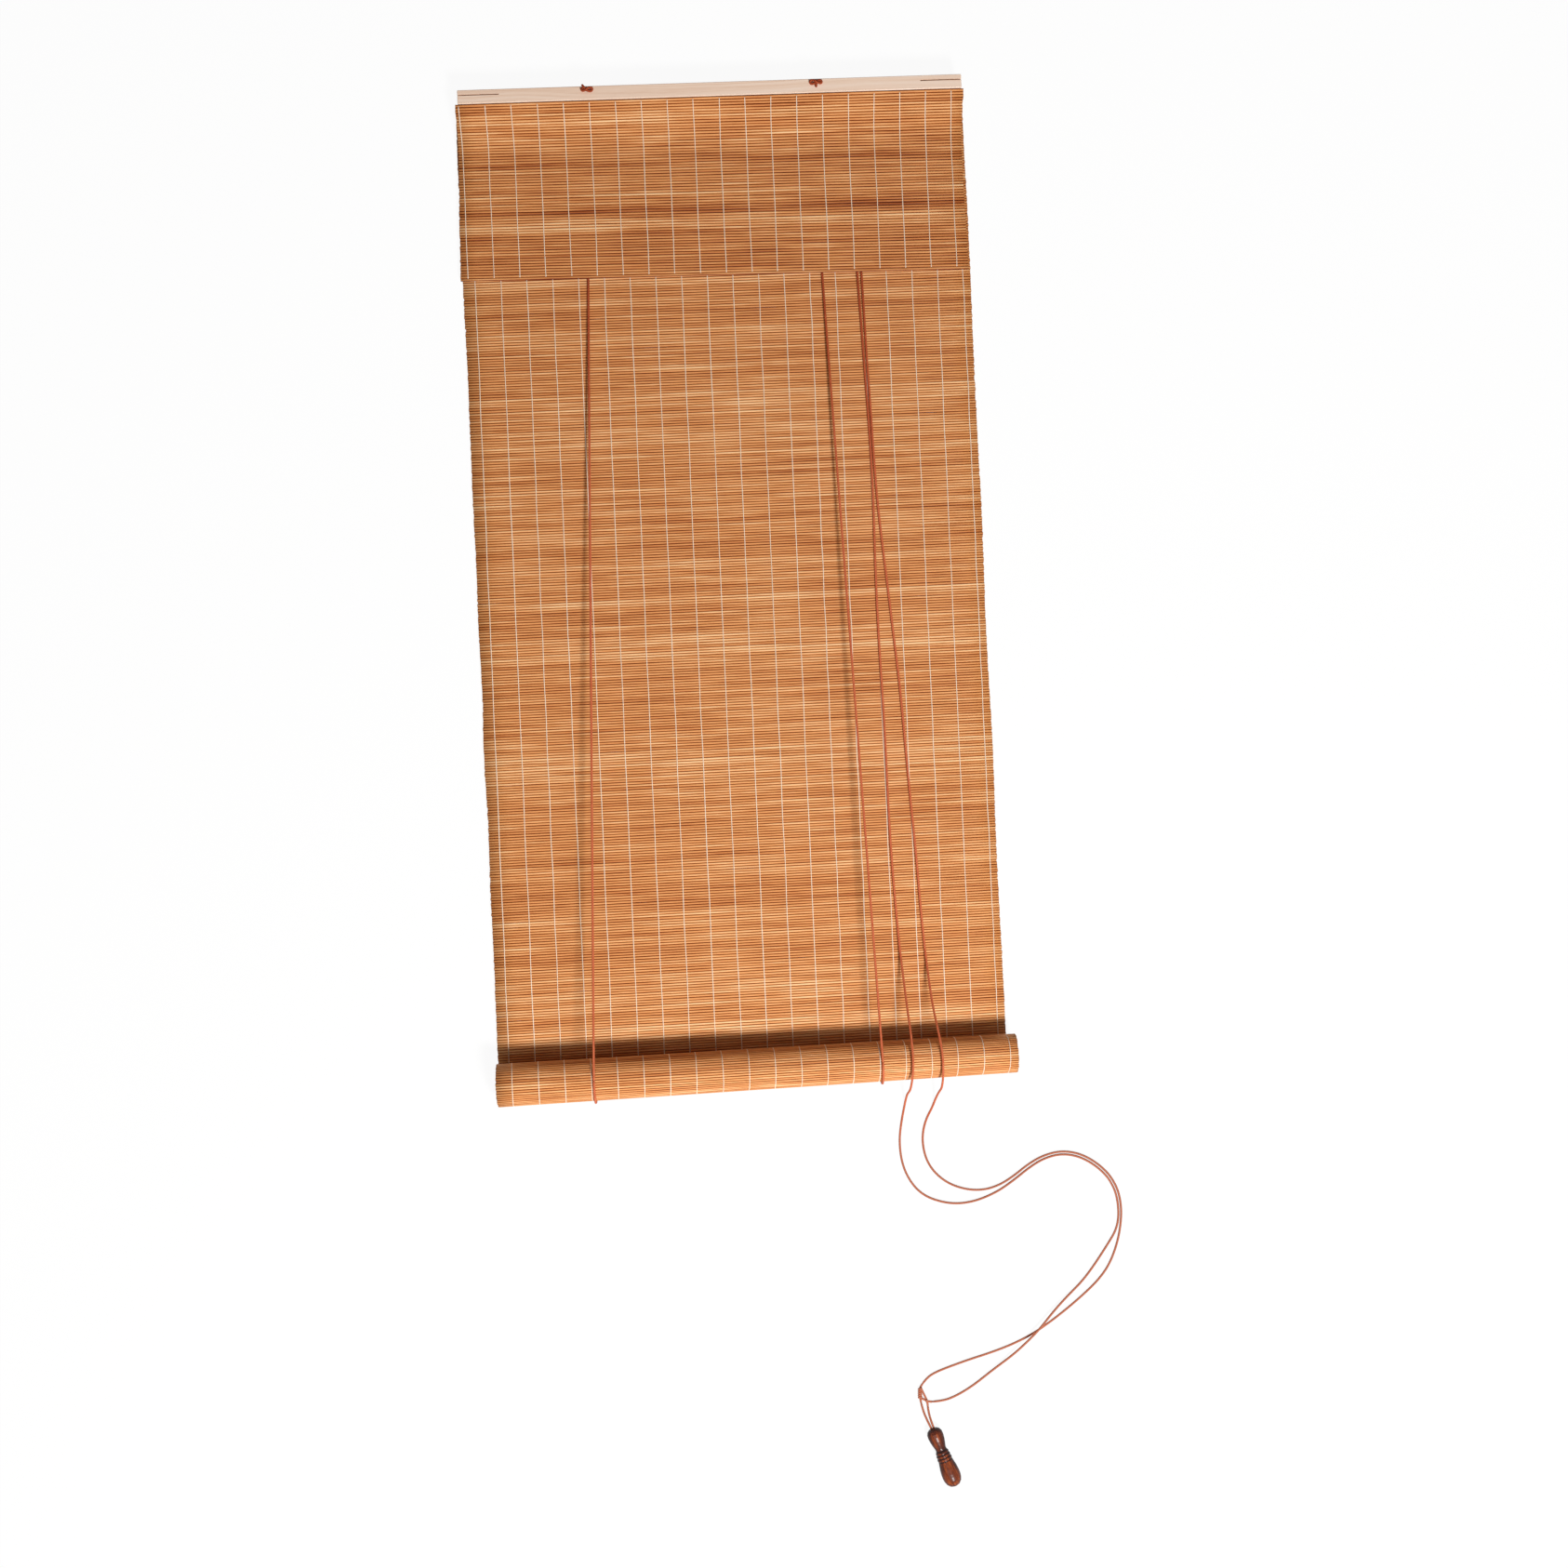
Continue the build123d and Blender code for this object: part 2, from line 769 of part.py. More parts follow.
def make_tassel_cords():
    left = [
        left_leg_start,
        (179.9, -971.6, 2.0),
        (183.9, -981.8, 6.2),
        tassel_point(-1.35, -1.0),
        tassel_point(-1.35, 8.0),
    ]
    right = [
        right_leg_start,
        (186.2, -973.6, 2.4),
        (188.2, -982.0, 6.4),
        tassel_point(1.35, -1.0),
        tassel_point(1.35, 8.0),
    ]
    return tube("tassel_cord_left", left), tube("tassel_cord_right", right)


nodes["head_batten"] = make_batten()
nodes["main_mat"] = make_mat()
nodes["mat_threads"] = make_mat_threads()
nodes["mat_roll"] = make_roll()
nodes["bottom_rail"] = make_rail()
nodes["valance"] = make_valance()
nodes["valance_threads"] = make_valance_threads()

nodes["left_pulley_frame"] = make_frame(
    left_ends, pulley_top, left_ends[0], (left_sheave_x, left_sheave_z)
)
nodes["right_pulley_frame"] = make_frame(
    right_ends, pulley_top, right_ends[0], (right_sheave_x, right_sheave_z)
)
nodes["lock_frame"] = make_lock_frame()
nodes["left_sheave"] = make_sheave(left_sheave_x, left_sheave_z)
nodes["right_sheave"] = make_sheave(right_sheave_x, right_sheave_z)
nodes["guide_roller"] = make_guide_roller()
nodes["cam_roller"] = make_cam()
nodes["left_sheave_pin"] = make_pin(left_sheave_x, left_sheave_z)
nodes["right_sheave_pin"] = make_pin(right_sheave_x, right_sheave_z)
nodes["guide_pin"] = make_pin(guide_x, guide_z)
nodes["cam_pin"] = make_pin(cam_x, cam_z)
nodes["frame_screws"] = make_screws()

nodes["left_knot"] = make_knot(
    "left_knot",
    left_hole_x,
    [(-2.6, 0.3, 0.75, 14, 0, 2.4), (2.9, -0.6, 0.85, -18, 20, 2.3)],
    (left_hole_x + 6.6, hole_y + 2.4, batten_top_z + 1.6),
)
nodes["right_knot"] = make_knot(
    "right_knot",
    right_hole_x,
    [(-3.7, -0.5, 1.0, 20, -15, 2.5), (3.9, 0.4, 0.7, -12, 12, 2.7)],
    (right_hole_x + 2.6, hole_y - 6.0, batten_top_z + 1.7),
)
nodes["left_back_cord"] = make_back_cord("left_back_cord", left_hole_x, left_loop_x)
nodes["right_back_cord"] = make_back_cord("right_back_cord", right_hole_x, right_loop_x)
nodes["left_cord_loop"] = make_loop("left_cord_loop", left_loop_x)
nodes["right_cord_loop"] = make_loop("right_cord_loop", right_loop_x)
nodes["left_front_cord"] = make_front_cord(
    "left_front_cord", left_loop_x, left_hem_x, left_sheave_x, left_line_z, outer_drop_x
)
nodes["right_front_cord"] = make_front_cord(
    "right_front_cord", right_loop_x, right_hem_x, right_sheave_x, right_line_z, inner_drop_x
)
nodes["pull_cord_a"] = tube("pull_cord_a", route_a)
nodes["pull_cord_b"] = tube("pull_cord_b", route_b)
nodes["pull_knot"] = make_pull_knot()
nodes["tassel_cord_left"], nodes["tassel_cord_right"] = make_tassel_cords()
nodes["tassel"] = make_tassel()

os.makedirs("parts", exist_ok=True)
for name, shape in nodes.items():
    export_step(shape, f"parts/{name}.step")
    print("wrote", name)
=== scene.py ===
import json
import math

import bpy
import numpy as np
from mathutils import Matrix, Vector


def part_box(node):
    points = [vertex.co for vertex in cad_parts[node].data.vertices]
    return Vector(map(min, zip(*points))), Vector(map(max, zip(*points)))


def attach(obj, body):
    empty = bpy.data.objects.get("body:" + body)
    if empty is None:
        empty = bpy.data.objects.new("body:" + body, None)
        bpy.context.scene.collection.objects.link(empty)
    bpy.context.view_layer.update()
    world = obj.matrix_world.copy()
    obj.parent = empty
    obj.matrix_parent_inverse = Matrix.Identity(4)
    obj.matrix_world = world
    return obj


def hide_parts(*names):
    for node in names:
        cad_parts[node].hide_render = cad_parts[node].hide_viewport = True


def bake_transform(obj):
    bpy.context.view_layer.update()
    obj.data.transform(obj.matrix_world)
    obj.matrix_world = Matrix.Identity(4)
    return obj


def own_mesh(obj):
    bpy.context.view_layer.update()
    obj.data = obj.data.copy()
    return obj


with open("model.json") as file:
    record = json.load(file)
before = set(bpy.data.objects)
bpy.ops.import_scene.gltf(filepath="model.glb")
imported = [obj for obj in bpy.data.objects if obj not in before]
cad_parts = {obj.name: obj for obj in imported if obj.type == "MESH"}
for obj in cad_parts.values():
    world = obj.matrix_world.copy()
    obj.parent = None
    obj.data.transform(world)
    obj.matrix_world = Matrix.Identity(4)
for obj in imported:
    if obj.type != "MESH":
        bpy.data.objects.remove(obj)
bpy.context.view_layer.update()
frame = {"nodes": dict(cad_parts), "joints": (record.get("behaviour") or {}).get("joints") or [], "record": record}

# The frame's axes: +X right, +Y to the head, +Z out of the front side.
# Shapes are worked out in millimetres and become metres where a mesh is made.
mm = 0.001
slotOf = {row["node"]: row["material_slot"] for row in frame["record"]["subparts"]}


def nodeBox(node):
    # a solid's two corners in millimetres
    low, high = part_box(node)
    return np.array(low) / mm, np.array(high) / mm


# Camera

# the place and turn that lay the solids over the photograph
view = {
    "place": (-0.0434, -0.2623, 2.5),
    "turn": (0.01437, -0.03684, -0.04526),
    "lens": 48.92,
    "sensor": 36.0,
}


def setCamera():
    # nearly straight down on the object, as it was photographed
    camera = bpy.data.cameras.new("camera")
    camera.lens = view["lens"]
    camera.sensor_width = view["sensor"]
    holder = bpy.data.objects.new("camera", camera)
    holder.location = view["place"]
    holder.rotation_euler = view["turn"]
    bpy.context.collection.objects.link(holder)
    bpy.context.scene.camera = holder


setCamera()
print("camera set")


# Shader maths

class Link:
    # one output socket, so that an expression on it adds its Math nodes
    def __init__(self, finish, socket):
        self.finish = finish
        self.socket = socket

    def maths(self, operation, first, second):
        return self.finish.node("ShaderNodeMath", {"operation": operation}, {0: first, 1: second})

    def __add__(self, other):
        return self.maths("ADD", self, other)

    def __sub__(self, other):
        return self.maths("SUBTRACT", self, other)

    def __mul__(self, other):
        return self.maths("MULTIPLY", self, other)

    def __pow__(self, other):
        return self.maths("POWER", self, other)


class Finish:
    # the nodes of one material or world, with a method that adds any node
    def __init__(self, owner):
        self.owner = owner
        owner.use_nodes = True
        self.tree = owner.node_tree
        self.tree.nodes.clear()

    def node(self, kind, settings=None, inputs=None, output=0):
        made = self.tree.nodes.new(kind)
        for key, value in (settings or {}).items():
            if key == "stops":
                self.setStops(made.color_ramp, value)
            else:
                setattr(made, key, value)
        for key, value in (inputs or {}).items():
            if isinstance(value, Link):
                self.tree.links.new(value.socket, made.inputs[key])
            else:
                made.inputs[key].default_value = value
        return Link(self, made.outputs[output]) if len(made.outputs) else made

    def setStops(self, ramp, stops):
        # a ramp comes with its two ends, and the others are added between them
        ramp.elements[0].position, ramp.elements[0].color = stops[0]
        ramp.elements[1].position, ramp.elements[1].color = stops[-1]
        for place, colour in stops[1:-1]:
            ramp.elements.new(place).color = colour

    def axes(self):
        place = self.node("ShaderNodeTexCoord", output="Object")
        return [self.node("ShaderNodeSeparateXYZ", None, {0: place}, output=i) for i in range(3)]

    def point(self, x, y, z):
        # three values as one place
        return self.node("ShaderNodeCombineXYZ", None, {0: x, 1: y, 2: z})

    def noise(self, place, scale=1.0, detail=2.0):
        inputs = {"Vector": place, "Scale": scale, "Detail": detail}
        return self.node("ShaderNodeTexNoise", None, inputs)

    def mark(self, name):
        # a value that the mesh carries
        return self.node("ShaderNodeAttribute", {"attribute_name": name}, output="Fac")

    def ramp(self, amount, stops):
        return self.node("ShaderNodeValToRGB", {"stops": stops}, {0: amount})

    def between(self, amount, low, high):
        # 0 at the first value and before it, 1 at the second and past it
        inputs = {"Value": amount, "From Min": low, "From Max": high}
        return self.node("ShaderNodeMapRange", None, inputs)

    def mix(self, share, first, second):
        # the colour sockets of the Mix node
        inputs = {0: share, 6: first, 7: second}
        return self.node("ShaderNodeMix", {"data_type": "RGBA"}, inputs, output=2)

    def sine(self, amount):
        return self.node("ShaderNodeMath", {"operation": "SINE"}, {0: amount})

    def highest(self, first, second):
        return self.node("ShaderNodeMath", {"operation": "MAXIMUM"}, {0: first, 1: second})

    def close(self, colour, roughness, height=None, depth=0.0001, strength=0.5, fixed=None):
        inputs = {"Base Color": colour, "Roughness": roughness}
        if height is not None:
            bump = {"Height": height, "Distance": depth, "Strength": strength}
            inputs["Normal"] = self.node("ShaderNodeBump", None, bump)
        inputs.update(fixed or {})
        shader = self.node("ShaderNodeBsdfPrincipled", None, inputs)
        self.node("ShaderNodeOutputMaterial", None, {"Surface": shader})
        return self.owner


def newFinish(name):
    # an empty material to build on
    return Finish(bpy.data.materials.new(name))


def paint(red, green, blue):
    # a colour from 0 to 255 as it is seen, made linear
    seen = np.array([red, green, blue]) / 255
    linear = np.where(seen <= 0.04045, seen / 12.92, ((seen + 0.055) / 1.055) ** 2.4)
    return (*linear.tolist(), 1.0)


# Finishes

matt = {"Specular IOR Level": 0.15}

slatLook = {
    "slat_bamboo": {"lift": 0.02, "contrast": 1.0},
    "dark_bamboo": {"lift": -0.04, "contrast": 1.3},
}


def slatFinish(name, lift, contrast):
    # short bands over two or three slats, wide faint patches, each slat's own tone, fine fibres
    # along it, and painted shade on each slat's sides, in the gaps between slats
    finish = newFinish(name)
    x, y, z = finish.axes()
    tone = finish.mark("tone")
    seed = finish.mark("seed")
    flank = finish.mark("flank")
    band = finish.noise(finish.point(x * 8.0, y * 130.0, z * 130.0 + seed * 0.8), detail=3.0)
    patch = finish.noise(finish.point(x * 3.0, y * 7.0, z * 7.0))
    own = finish.noise(finish.point(x * 13.0, seed * 97.0, tone * 5.0), detail=3.0)
    fibre = finish.noise(finish.point(x * 38.0, y * 1500.0, z * 1500.0), detail=2.0)
    amount = (band - 0.5) * (0.42 * contrast) + (own - 0.5) * 0.6 + (tone - 0.5) * (0.4 * contrast)
    amount = amount + (patch - 0.5) * 0.2 + (fibre - 0.5) * 0.28
    # the sides of each slat are darkened here: painted shade for the gaps between slats
    shade = amount - flank ** 2.2 * 1.05 + (0.77 + lift)
    colour = finish.ramp(
        shade,
        [
            (0.0, paint(98, 38, 12)),
            (0.26, paint(164, 84, 36)),
            (0.52, paint(204, 130, 72)),
            (0.76, paint(226, 160, 100)),
            (1.0, paint(246, 204, 154)),
        ],
    )
    return finish.close(colour, fibre * 0.25 + 0.4, fibre, 0.0003, 0.3, matt)


def threadFinish():
    # white cotton: a fine twist, and a slow yellowing from row to row
    finish = newFinish("thread")
    x, y, z = finish.axes()
    twist = finish.noise(finish.point(x * 900.0, y * 700.0, z * 700.0), detail=2.0)
    age = finish.noise(finish.point(x * 30.0, y * 6.0, 1.0))
    stops = [(0.3, paint(236, 204, 176)), (0.7, paint(255, 242, 224))]
    colour = finish.ramp(twist * 0.6 + age * 0.4, stops)
    return finish.close(colour, 0.85, twist, 0.0003, 0.5, matt)


cordLook = {
    "stitch": 2.6,
    "strands": 3,
    "hemShade": 0.3,
    "hemShadeFrom": 0.1,
    "hemShadeTo": 0.37,
    "dull": 0.55,
    "dullFrom": -0.6,
    "dullTo": -0.68,
}


def cordFinish():
    # a braid: two sets of helices on the cord's own map, the higher one showing. Painted shade darkens
    # the cords towards the valance's hem, and the strands grow paler and greyer where they lie on the floor.
    finish = newFinish("cord")
    place = finish.node("ShaderNodeUVMap", {"uv_map": "lie"})
    run = finish.node("ShaderNodeSeparateXYZ", None, {0: place}, output=0)
    around = finish.node("ShaderNodeSeparateXYZ", None, {0: place}, output=1)
    turn = 2 * math.pi
    run = run * (turn * 10 / cordLook["stitch"])
    lead = around * (turn * cordLook["strands"])
    braid = finish.highest(finish.sine(run + lead), finish.sine(run - lead))
    x, y, z = finish.axes()
    wear = finish.noise(finish.point(x, y, z), scale=260.0)
    stops = [
        (0.0, paint(92, 28, 14)),
        (0.2, paint(136, 54, 28)),
        (0.5, paint(184, 86, 50)),
        (0.9, paint(212, 120, 84)),
    ]
    # painted shade: darker from y 0.1 m up to the valance's hem
    shadeByHem = finish.between(y, cordLook["hemShadeFrom"], cordLook["hemShadeTo"]) * cordLook["hemShade"]
    colour = finish.ramp(braid * 0.2 + wear * 0.45 + 0.32 - shadeByHem, stops)
    # paler and greyer past the roll, where the strands lie on the floor
    onFloor = finish.between(y, cordLook["dullFrom"], cordLook["dullTo"]) * cordLook["dull"]
    colour = finish.mix(onFloor, colour, paint(150, 104, 84))
    return finish.close(colour, 0.65, braid, 0.00015, 0.6, matt)


def pineFinish():
    # planed grain along X: year rings that sway, with short pores in them, and painted light that makes it lighter
    # towards +X, the key lamp's side
    finish = newFinish("pine")
    x, y, z = finish.axes()
    sway = finish.noise(finish.point(x * 4.0, y * 20.0, z * 20.0))
    rings = finish.noise(finish.point(x * 3.0, y * 420.0 + sway * 9.0, z * 300.0), detail=3.0)
    pores = finish.noise(finish.point(x * 60.0, y * 2600.0, z * 2600.0), detail=2.0)
    stops = [
        (0.25, paint(224, 186, 158)),
        (0.5, paint(244, 216, 194)),
        (0.75, paint(252, 232, 216)),
    ]
    # x * 0.12 is painted light: the wood grows lighter towards +X, where the key lamp is
    colour = finish.ramp(rings * 0.75 + pores * 0.25 + x * 0.12, stops)
    return finish.close(colour, pores * 0.2 + 0.5, rings * 0.5 + pores * 0.5, 0.0002, 0.25)


def steelFinish():
    # plated sheet, brushed across Y
    finish = newFinish("steel")
    x, y, z = finish.axes()
    brushed = finish.noise(finish.point(x * 200.0, y * 3000.0, z * 200.0), detail=3.0)
    colour = finish.ramp(brushed, [(0.3, paint(142, 142, 144)), (0.7, paint(186, 186, 188))])
    return finish.close(colour, brushed * 0.25 + 0.28, brushed, 0.0001, 0.2, {"Metallic": 0.9})


def nylonFinish():
    # moulded in one colour, with an even fine grain
    finish = newFinish("nylon")
    x, y, z = finish.axes()
    grain = finish.noise(finish.point(x, y, z), scale=900.0)
    colour = finish.ramp(grain, [(0.3, paint(216, 208, 192)), (0.7, paint(232, 226, 212))])
    return finish.close(colour, grain * 0.15 + 0.4, grain, 0.0001, 0.2)


tasselLook = {
    "top": (189.6, -990.95),
    "way": (0.331, -0.944),
    "bulbs": ((8.5, 9.35), (57.0, 10.9)),
    "grooves": (26.4, 4.0),
    "lit": (9.0, 19.0),
    "voxel": 0.0003,
    "passes": 2,
}


def turnedWoodFinish():
    # grain along the tassel's own axis, painted shade in the grooves of its rings, 25 to 40 mm from its
    # top, and painted shade that deepens the lower a point lies on its sides
    finish = newFinish("turned_wood")
    place = finish.node("ShaderNodeTexCoord", output="Object")
    heading = math.atan2(tasselLook["way"][1], tasselLook["way"][0])
    top = (*[value * mm for value in tasselLook["top"]], 0)
    turned = {"Vector": place, "Location": top, "Rotation": (0, 0, heading)}
    mapped = finish.node("ShaderNodeMapping", {"vector_type": "TEXTURE"}, turned)
    x, y, z = [finish.node("ShaderNodeSeparateXYZ", None, {0: mapped}, output=i) for i in range(3)]
    grain = finish.noise(finish.point(x * 26.0, y * 420.0, z * 420.0), detail=4.0)
    fine = finish.noise(finish.point(x * 160.0, y * 2400.0, z * 2400.0))
    first, pitch = [value * mm for value in tasselLook["grooves"]]
    # painted shade in the ring grooves, 25 to 40 mm from the top
    wave = finish.sine((x - first) * (2 * math.pi / pitch) + math.pi / 2)
    clear, inRings = (0, 0, 0, 1), (1, 1, 1, 1)
    window = finish.ramp(x * 10.0, [(0.24, clear), (0.26, inRings), (0.39, inRings), (0.41, clear)])
    grooveShade = (wave * 0.5 + 0.5) ** 3.0 * window
    low, high = [value * mm for value in tasselLook["lit"]]
    # painted shade: darker the lower the point, from 19 mm down to 9 mm
    under = finish.between(z, high, low)
    stops = [
        (0.12, paint(26, 6, 4)),
        (0.34, paint(58, 20, 9)),
        (0.5, paint(104, 44, 18)),
        (0.7, paint(168, 84, 34)),
    ]
    colour = finish.ramp(grain * 0.8 + fine * 0.2 + 0.02 - grooveShade * 0.36 - under * 0.42, stops)
    coat = {"Specular IOR Level": 0.1, "Coat Weight": 0.2, "Coat Roughness": 0.24}
    return finish.close(colour, fine * 0.15 + 0.3, fine, 0.0001, 0.15, coat)


finishes = {name: slatFinish(name, **look) for name, look in slatLook.items()}
finishes["thread"] = threadFinish()
finishes["cord"] = cordFinish()
finishes["pine"] = pineFinish()
finishes["steel"] = steelFinish()
finishes["nylon"] = nylonFinish()
finishes["turned_wood"] = turnedWoodFinish()
print("finishes made:", len(finishes))


# Meshes

def meshPiece(name, points, faces, slotName, uv=None, marks=None, smooth=True):
    # faces are index arrays with a row for each face, and uv has a row for each of their corners
    mesh = bpy.data.meshes.new(name)
    corners = np.concatenate([rows.ravel() for rows in faces])
    sizes = np.concatenate([np.full(len(rows), rows.shape[1]) for rows in faces])
    starts = np.concatenate([[0], np.cumsum(sizes)[:-1]])
    mesh.vertices.add(len(points))
    mesh.vertices.foreach_set("co", (points * mm).astype(np.float32).ravel())
    mesh.loops.add(len(corners))
    mesh.loops.foreach_set("vertex_index", corners.astype(np.int32))
    mesh.polygons.add(len(sizes))
    mesh.polygons.foreach_set("loop_start", starts.astype(np.int32))
    # the closing faces stay flat, so that an end keeps its edge
    mesh.polygons.foreach_set("use_smooth", (sizes == 4) & smooth)
    mesh.update(calc_edges=True)
    if uv is not None:
        layer = mesh.uv_layers.new(name="lie")
        layer.data.foreach_set("uv", uv.astype(np.float32).ravel())
    for key, values in (marks or {}).items():
        attribute = mesh.attributes.new(key, "FLOAT", "POINT")
        attribute.data.foreach_set("value", values.astype(np.float32).ravel())
    mesh.materials.append(finishes[slotName])
    piece = bpy.data.objects.new(name, mesh)
    bpy.context.collection.objects.link(piece)
    return piece


def bundleFaces(count, stations, sides):
    # tubes side by side: quads from ring to ring, and one closing face at each end
    tube = np.arange(count)[:, None, None] * stations * sides
    row = np.arange(stations - 1)[None, :, None] * sides
    side = np.arange(sides)[None, None, :]
    ahead = (side + 1) % sides
    here = tube + row
    there = here + sides
    quads = np.stack([here + side, here + ahead, there + ahead, there + side], -1).reshape(-1, 4)
    ring = np.arange(sides)
    start = tube.reshape(-1, 1) + ring[::-1]
    end = tube.reshape(-1, 1) + (stations - 1) * sides + ring
    return [quads, start, end]


def drift(rng, x, wave):
    # three sines of each row's own length and phase, about -1 to 1
    total = np.zeros_like(x)
    for share in (0.5, 0.3, 0.2):
        length = wave * rng.uniform(0.5, 1.6, (len(x), 1)) * (0.4 + share)
        total += share * np.sin(2 * math.pi * (x / length + rng.random((len(x), 1))))
    return total


def slatRows(look, middle, up, tilt, ends, rng):
    # A slat is a bar along X whose ring is a superellipse in the mat's own two directions, and
    # its width, height, bow and lift drift along it. Returns rows of slat, station, ring point.
    share = np.linspace(0, 1, look["stations"])
    x = ends[:, :1] + (ends[:, 1:] - ends[:, :1]) * share
    turn = 2 * math.pi * np.arange(look["sides"]) / look["sides"]
    ringA = np.sign(np.cos(turn)) * np.abs(np.cos(turn)) ** look["squareness"]
    ringB = np.sign(np.sin(turn)) * np.abs(np.sin(turn)) ** look["squareness"]
    waves = look["waves"]
    half = look["width"] / 2 * (1 + look["uneven"] * drift(rng, x, waves["width"]))
    high = look["thickness"] / 2 * (1 + look["uneven"] * drift(rng, x, waves["thickness"]))
    bow = look["bow"] * drift(rng, x, waves["bow"])
    lift = look["lift"] * drift(rng, x, waves["lift"])
    across = ringA * half[..., None] + bow[..., None]
    above = ringB * high[..., None] + lift[..., None]
    upY = up[:, 0][:, None, None]
    upZ = up[:, 1][:, None, None]
    y = middle[:, 0][:, None, None] + across * upZ + above * upY + (tilt[:, None] * x)[..., None]
    z = middle[:, 1][:, None, None] - across * upY + above * upZ
    return np.stack([np.broadcast_to(x[..., None], y.shape), y, z], -1)


def slatMarks(rows, rng):
    # tone: a normal draw for each slat with some of its neighbours' draws; seed: an even draw for
    # each slat; and the mark for painted shade in the gaps: 0 on its back and face, 1 on its sides
    count, stations, sides = rows.shape[:3]
    turn = 2 * math.pi * np.arange(sides) / sides
    own = rng.normal(0, 1, count)
    near = np.convolve(own, [0.3, 1.0, 0.3], "same")
    tone = np.clip(0.5 + 0.15 * near, 0, 1)
    shape = (count, stations * sides)
    return {
        "tone": np.broadcast_to(tone[:, None], shape),
        "seed": np.broadcast_to(rng.random(count)[:, None], shape),
        "flank": np.tile(np.abs(np.cos(turn)), count * stations),
    }


def slatPiece(name, rows, slotName, rng):
    # all the slats of one mat as one mesh
    count, stations, sides = rows.shape[:3]
    faces = bundleFaces(count, stations, sides)
    return meshPiece(name, rows.reshape(-1, 3), faces, slotName, marks=slatMarks(rows, rng))


def threadRows(look, middle, up, tilt, crossings, rng, hand):
    # A warp thread runs along the mat, high over each slat and low in the gap beside it. Its ring
    # is a flat diamond across X and the mat's normal, and hand is the sign that turns its faces
    # outward. Returns rows of thread, station, ring point.
    halfStep = np.diff(middle, axis=0, append=2 * middle[-1:] - middle[-2:-1]) / 2
    path = np.stack([middle, middle + halfStep], 1).reshape(-1, 2)
    normal = np.repeat(up, 2, axis=0)
    lean = np.repeat(tilt, 2)
    top = np.tile([look["over"], look["dip"]], len(middle))
    path = path + normal * top[:, None]
    down = np.broadcast_to(np.arange(len(path)) * look["step"], (len(crossings), len(path)))
    wobble = drift(rng, down, look["wave"])
    x = crossings + look["sway"] * wobble
    ring = np.array([(1, 0), (0, 1), (-1, 0), (0, -1)]) * (look["width"] / 2, look["height"] / 2)
    across = np.broadcast_to(ring[:, 0] * hand, (*x.shape, 4))
    rise = ring[:, 1]
    y = path[:, 0][:, None] + normal[:, 0][:, None] * rise
    z = path[:, 1][:, None] + normal[:, 1][:, None] * rise
    allX = x[..., None] + across
    allY = y[None] + (lean * x)[..., None]
    return np.stack([allX, np.broadcast_to(allY, allX.shape), np.broadcast_to(z, allX.shape)], -1)


def threadPiece(name, rows):
    # all the threads of one mat as one mesh
    count, stations, sides = rows.shape[:3]
    return meshPiece(name, rows.reshape(-1, 3), bundleFaces(count, stations, sides), "thread")


def followRoute(route, resolution=6):
    # the points along one NURBS line that has the route as its control points
    curve = bpy.data.curves.new("route", "CURVE")
    curve.dimensions = "3D"
    curve.resolution_u = resolution
    spline = curve.splines.new("NURBS")
    spline.points.add(len(route) - 1)
    spline.points.foreach_set("co", np.c_[np.array(route), np.ones(len(route))].ravel())
    spline.order_u = 3
    spline.use_endpoint_u = True
    holder = bpy.data.objects.new("route", curve)
    bpy.context.collection.objects.link(holder)
    bpy.context.view_layer.update()
    line = bpy.data.meshes.new_from_object(holder)
    path = np.zeros(len(line.vertices) * 3)
    line.vertices.foreach_get("co", path)
    bpy.data.meshes.remove(line)
    bpy.data.objects.remove(holder)
    bpy.data.curves.remove(curve)
    return path.reshape(-1, 3)


def carryRing(path, radius, sides):
    # a ring carried along a path, turned as little as it can be from station to station
    step = np.gradient(path, axis=0)
    heading = step / np.linalg.norm(step, axis=1, keepdims=True)
    side = np.zeros_like(path)
    lean = np.array([0.13, 0.29, 1.0])
    for i, way in enumerate(heading):
        lean = lean - way * (lean @ way)
        lean = lean / np.linalg.norm(lean)
        side[i] = lean
    other = np.cross(heading, side)
    turn = 2 * math.pi * np.arange(sides) / sides
    size = np.broadcast_to(radius, len(path))[:, None, None]
    ring = np.cos(turn)[:, None] * side[:, None] + np.sin(turn)[:, None] * other[:, None]
    return path[:, None] + size * ring


def tubeMap(path, sides):
    # run in centimetres and turn from 0 to 1, for each corner of a tube's faces
    run = np.concatenate([[0], np.cumsum(np.linalg.norm(np.diff(path, axis=0), axis=1))]) / 10
    low, high = np.broadcast_arrays(run[:-1, None], run[1:, None] + np.zeros(sides))
    turn = np.broadcast_to(np.arange(sides) / sides, low.shape)
    ahead = turn + 1 / sides
    quads = np.stack([low, turn, low, ahead, high, ahead, high, turn], -1).reshape(-1, 2)
    start = np.tile([run[0], 0.0], (sides, 1))
    end = np.tile([run[-1], 0.0], (sides, 1))
    return np.concatenate([quads, start, end])


cord = {"diameter": 2.6, "sides": 12, "drawnIn": 0.7}


def cordTube(name, path):
    # a round tube along the path, its two ends drawn in
    size = np.full(len(path), cord["diameter"] / 2)
    size[[0, -1]] *= cord["drawnIn"]
    points = carryRing(path, size, cord["sides"]).reshape(-1, 3)
    faces = bundleFaces(1, len(path), cord["sides"])
    return meshPiece(name, points, faces, "cord", uv=tubeMap(path, cord["sides"]))


# How the roll lies: a little conical and turned, as in the photograph

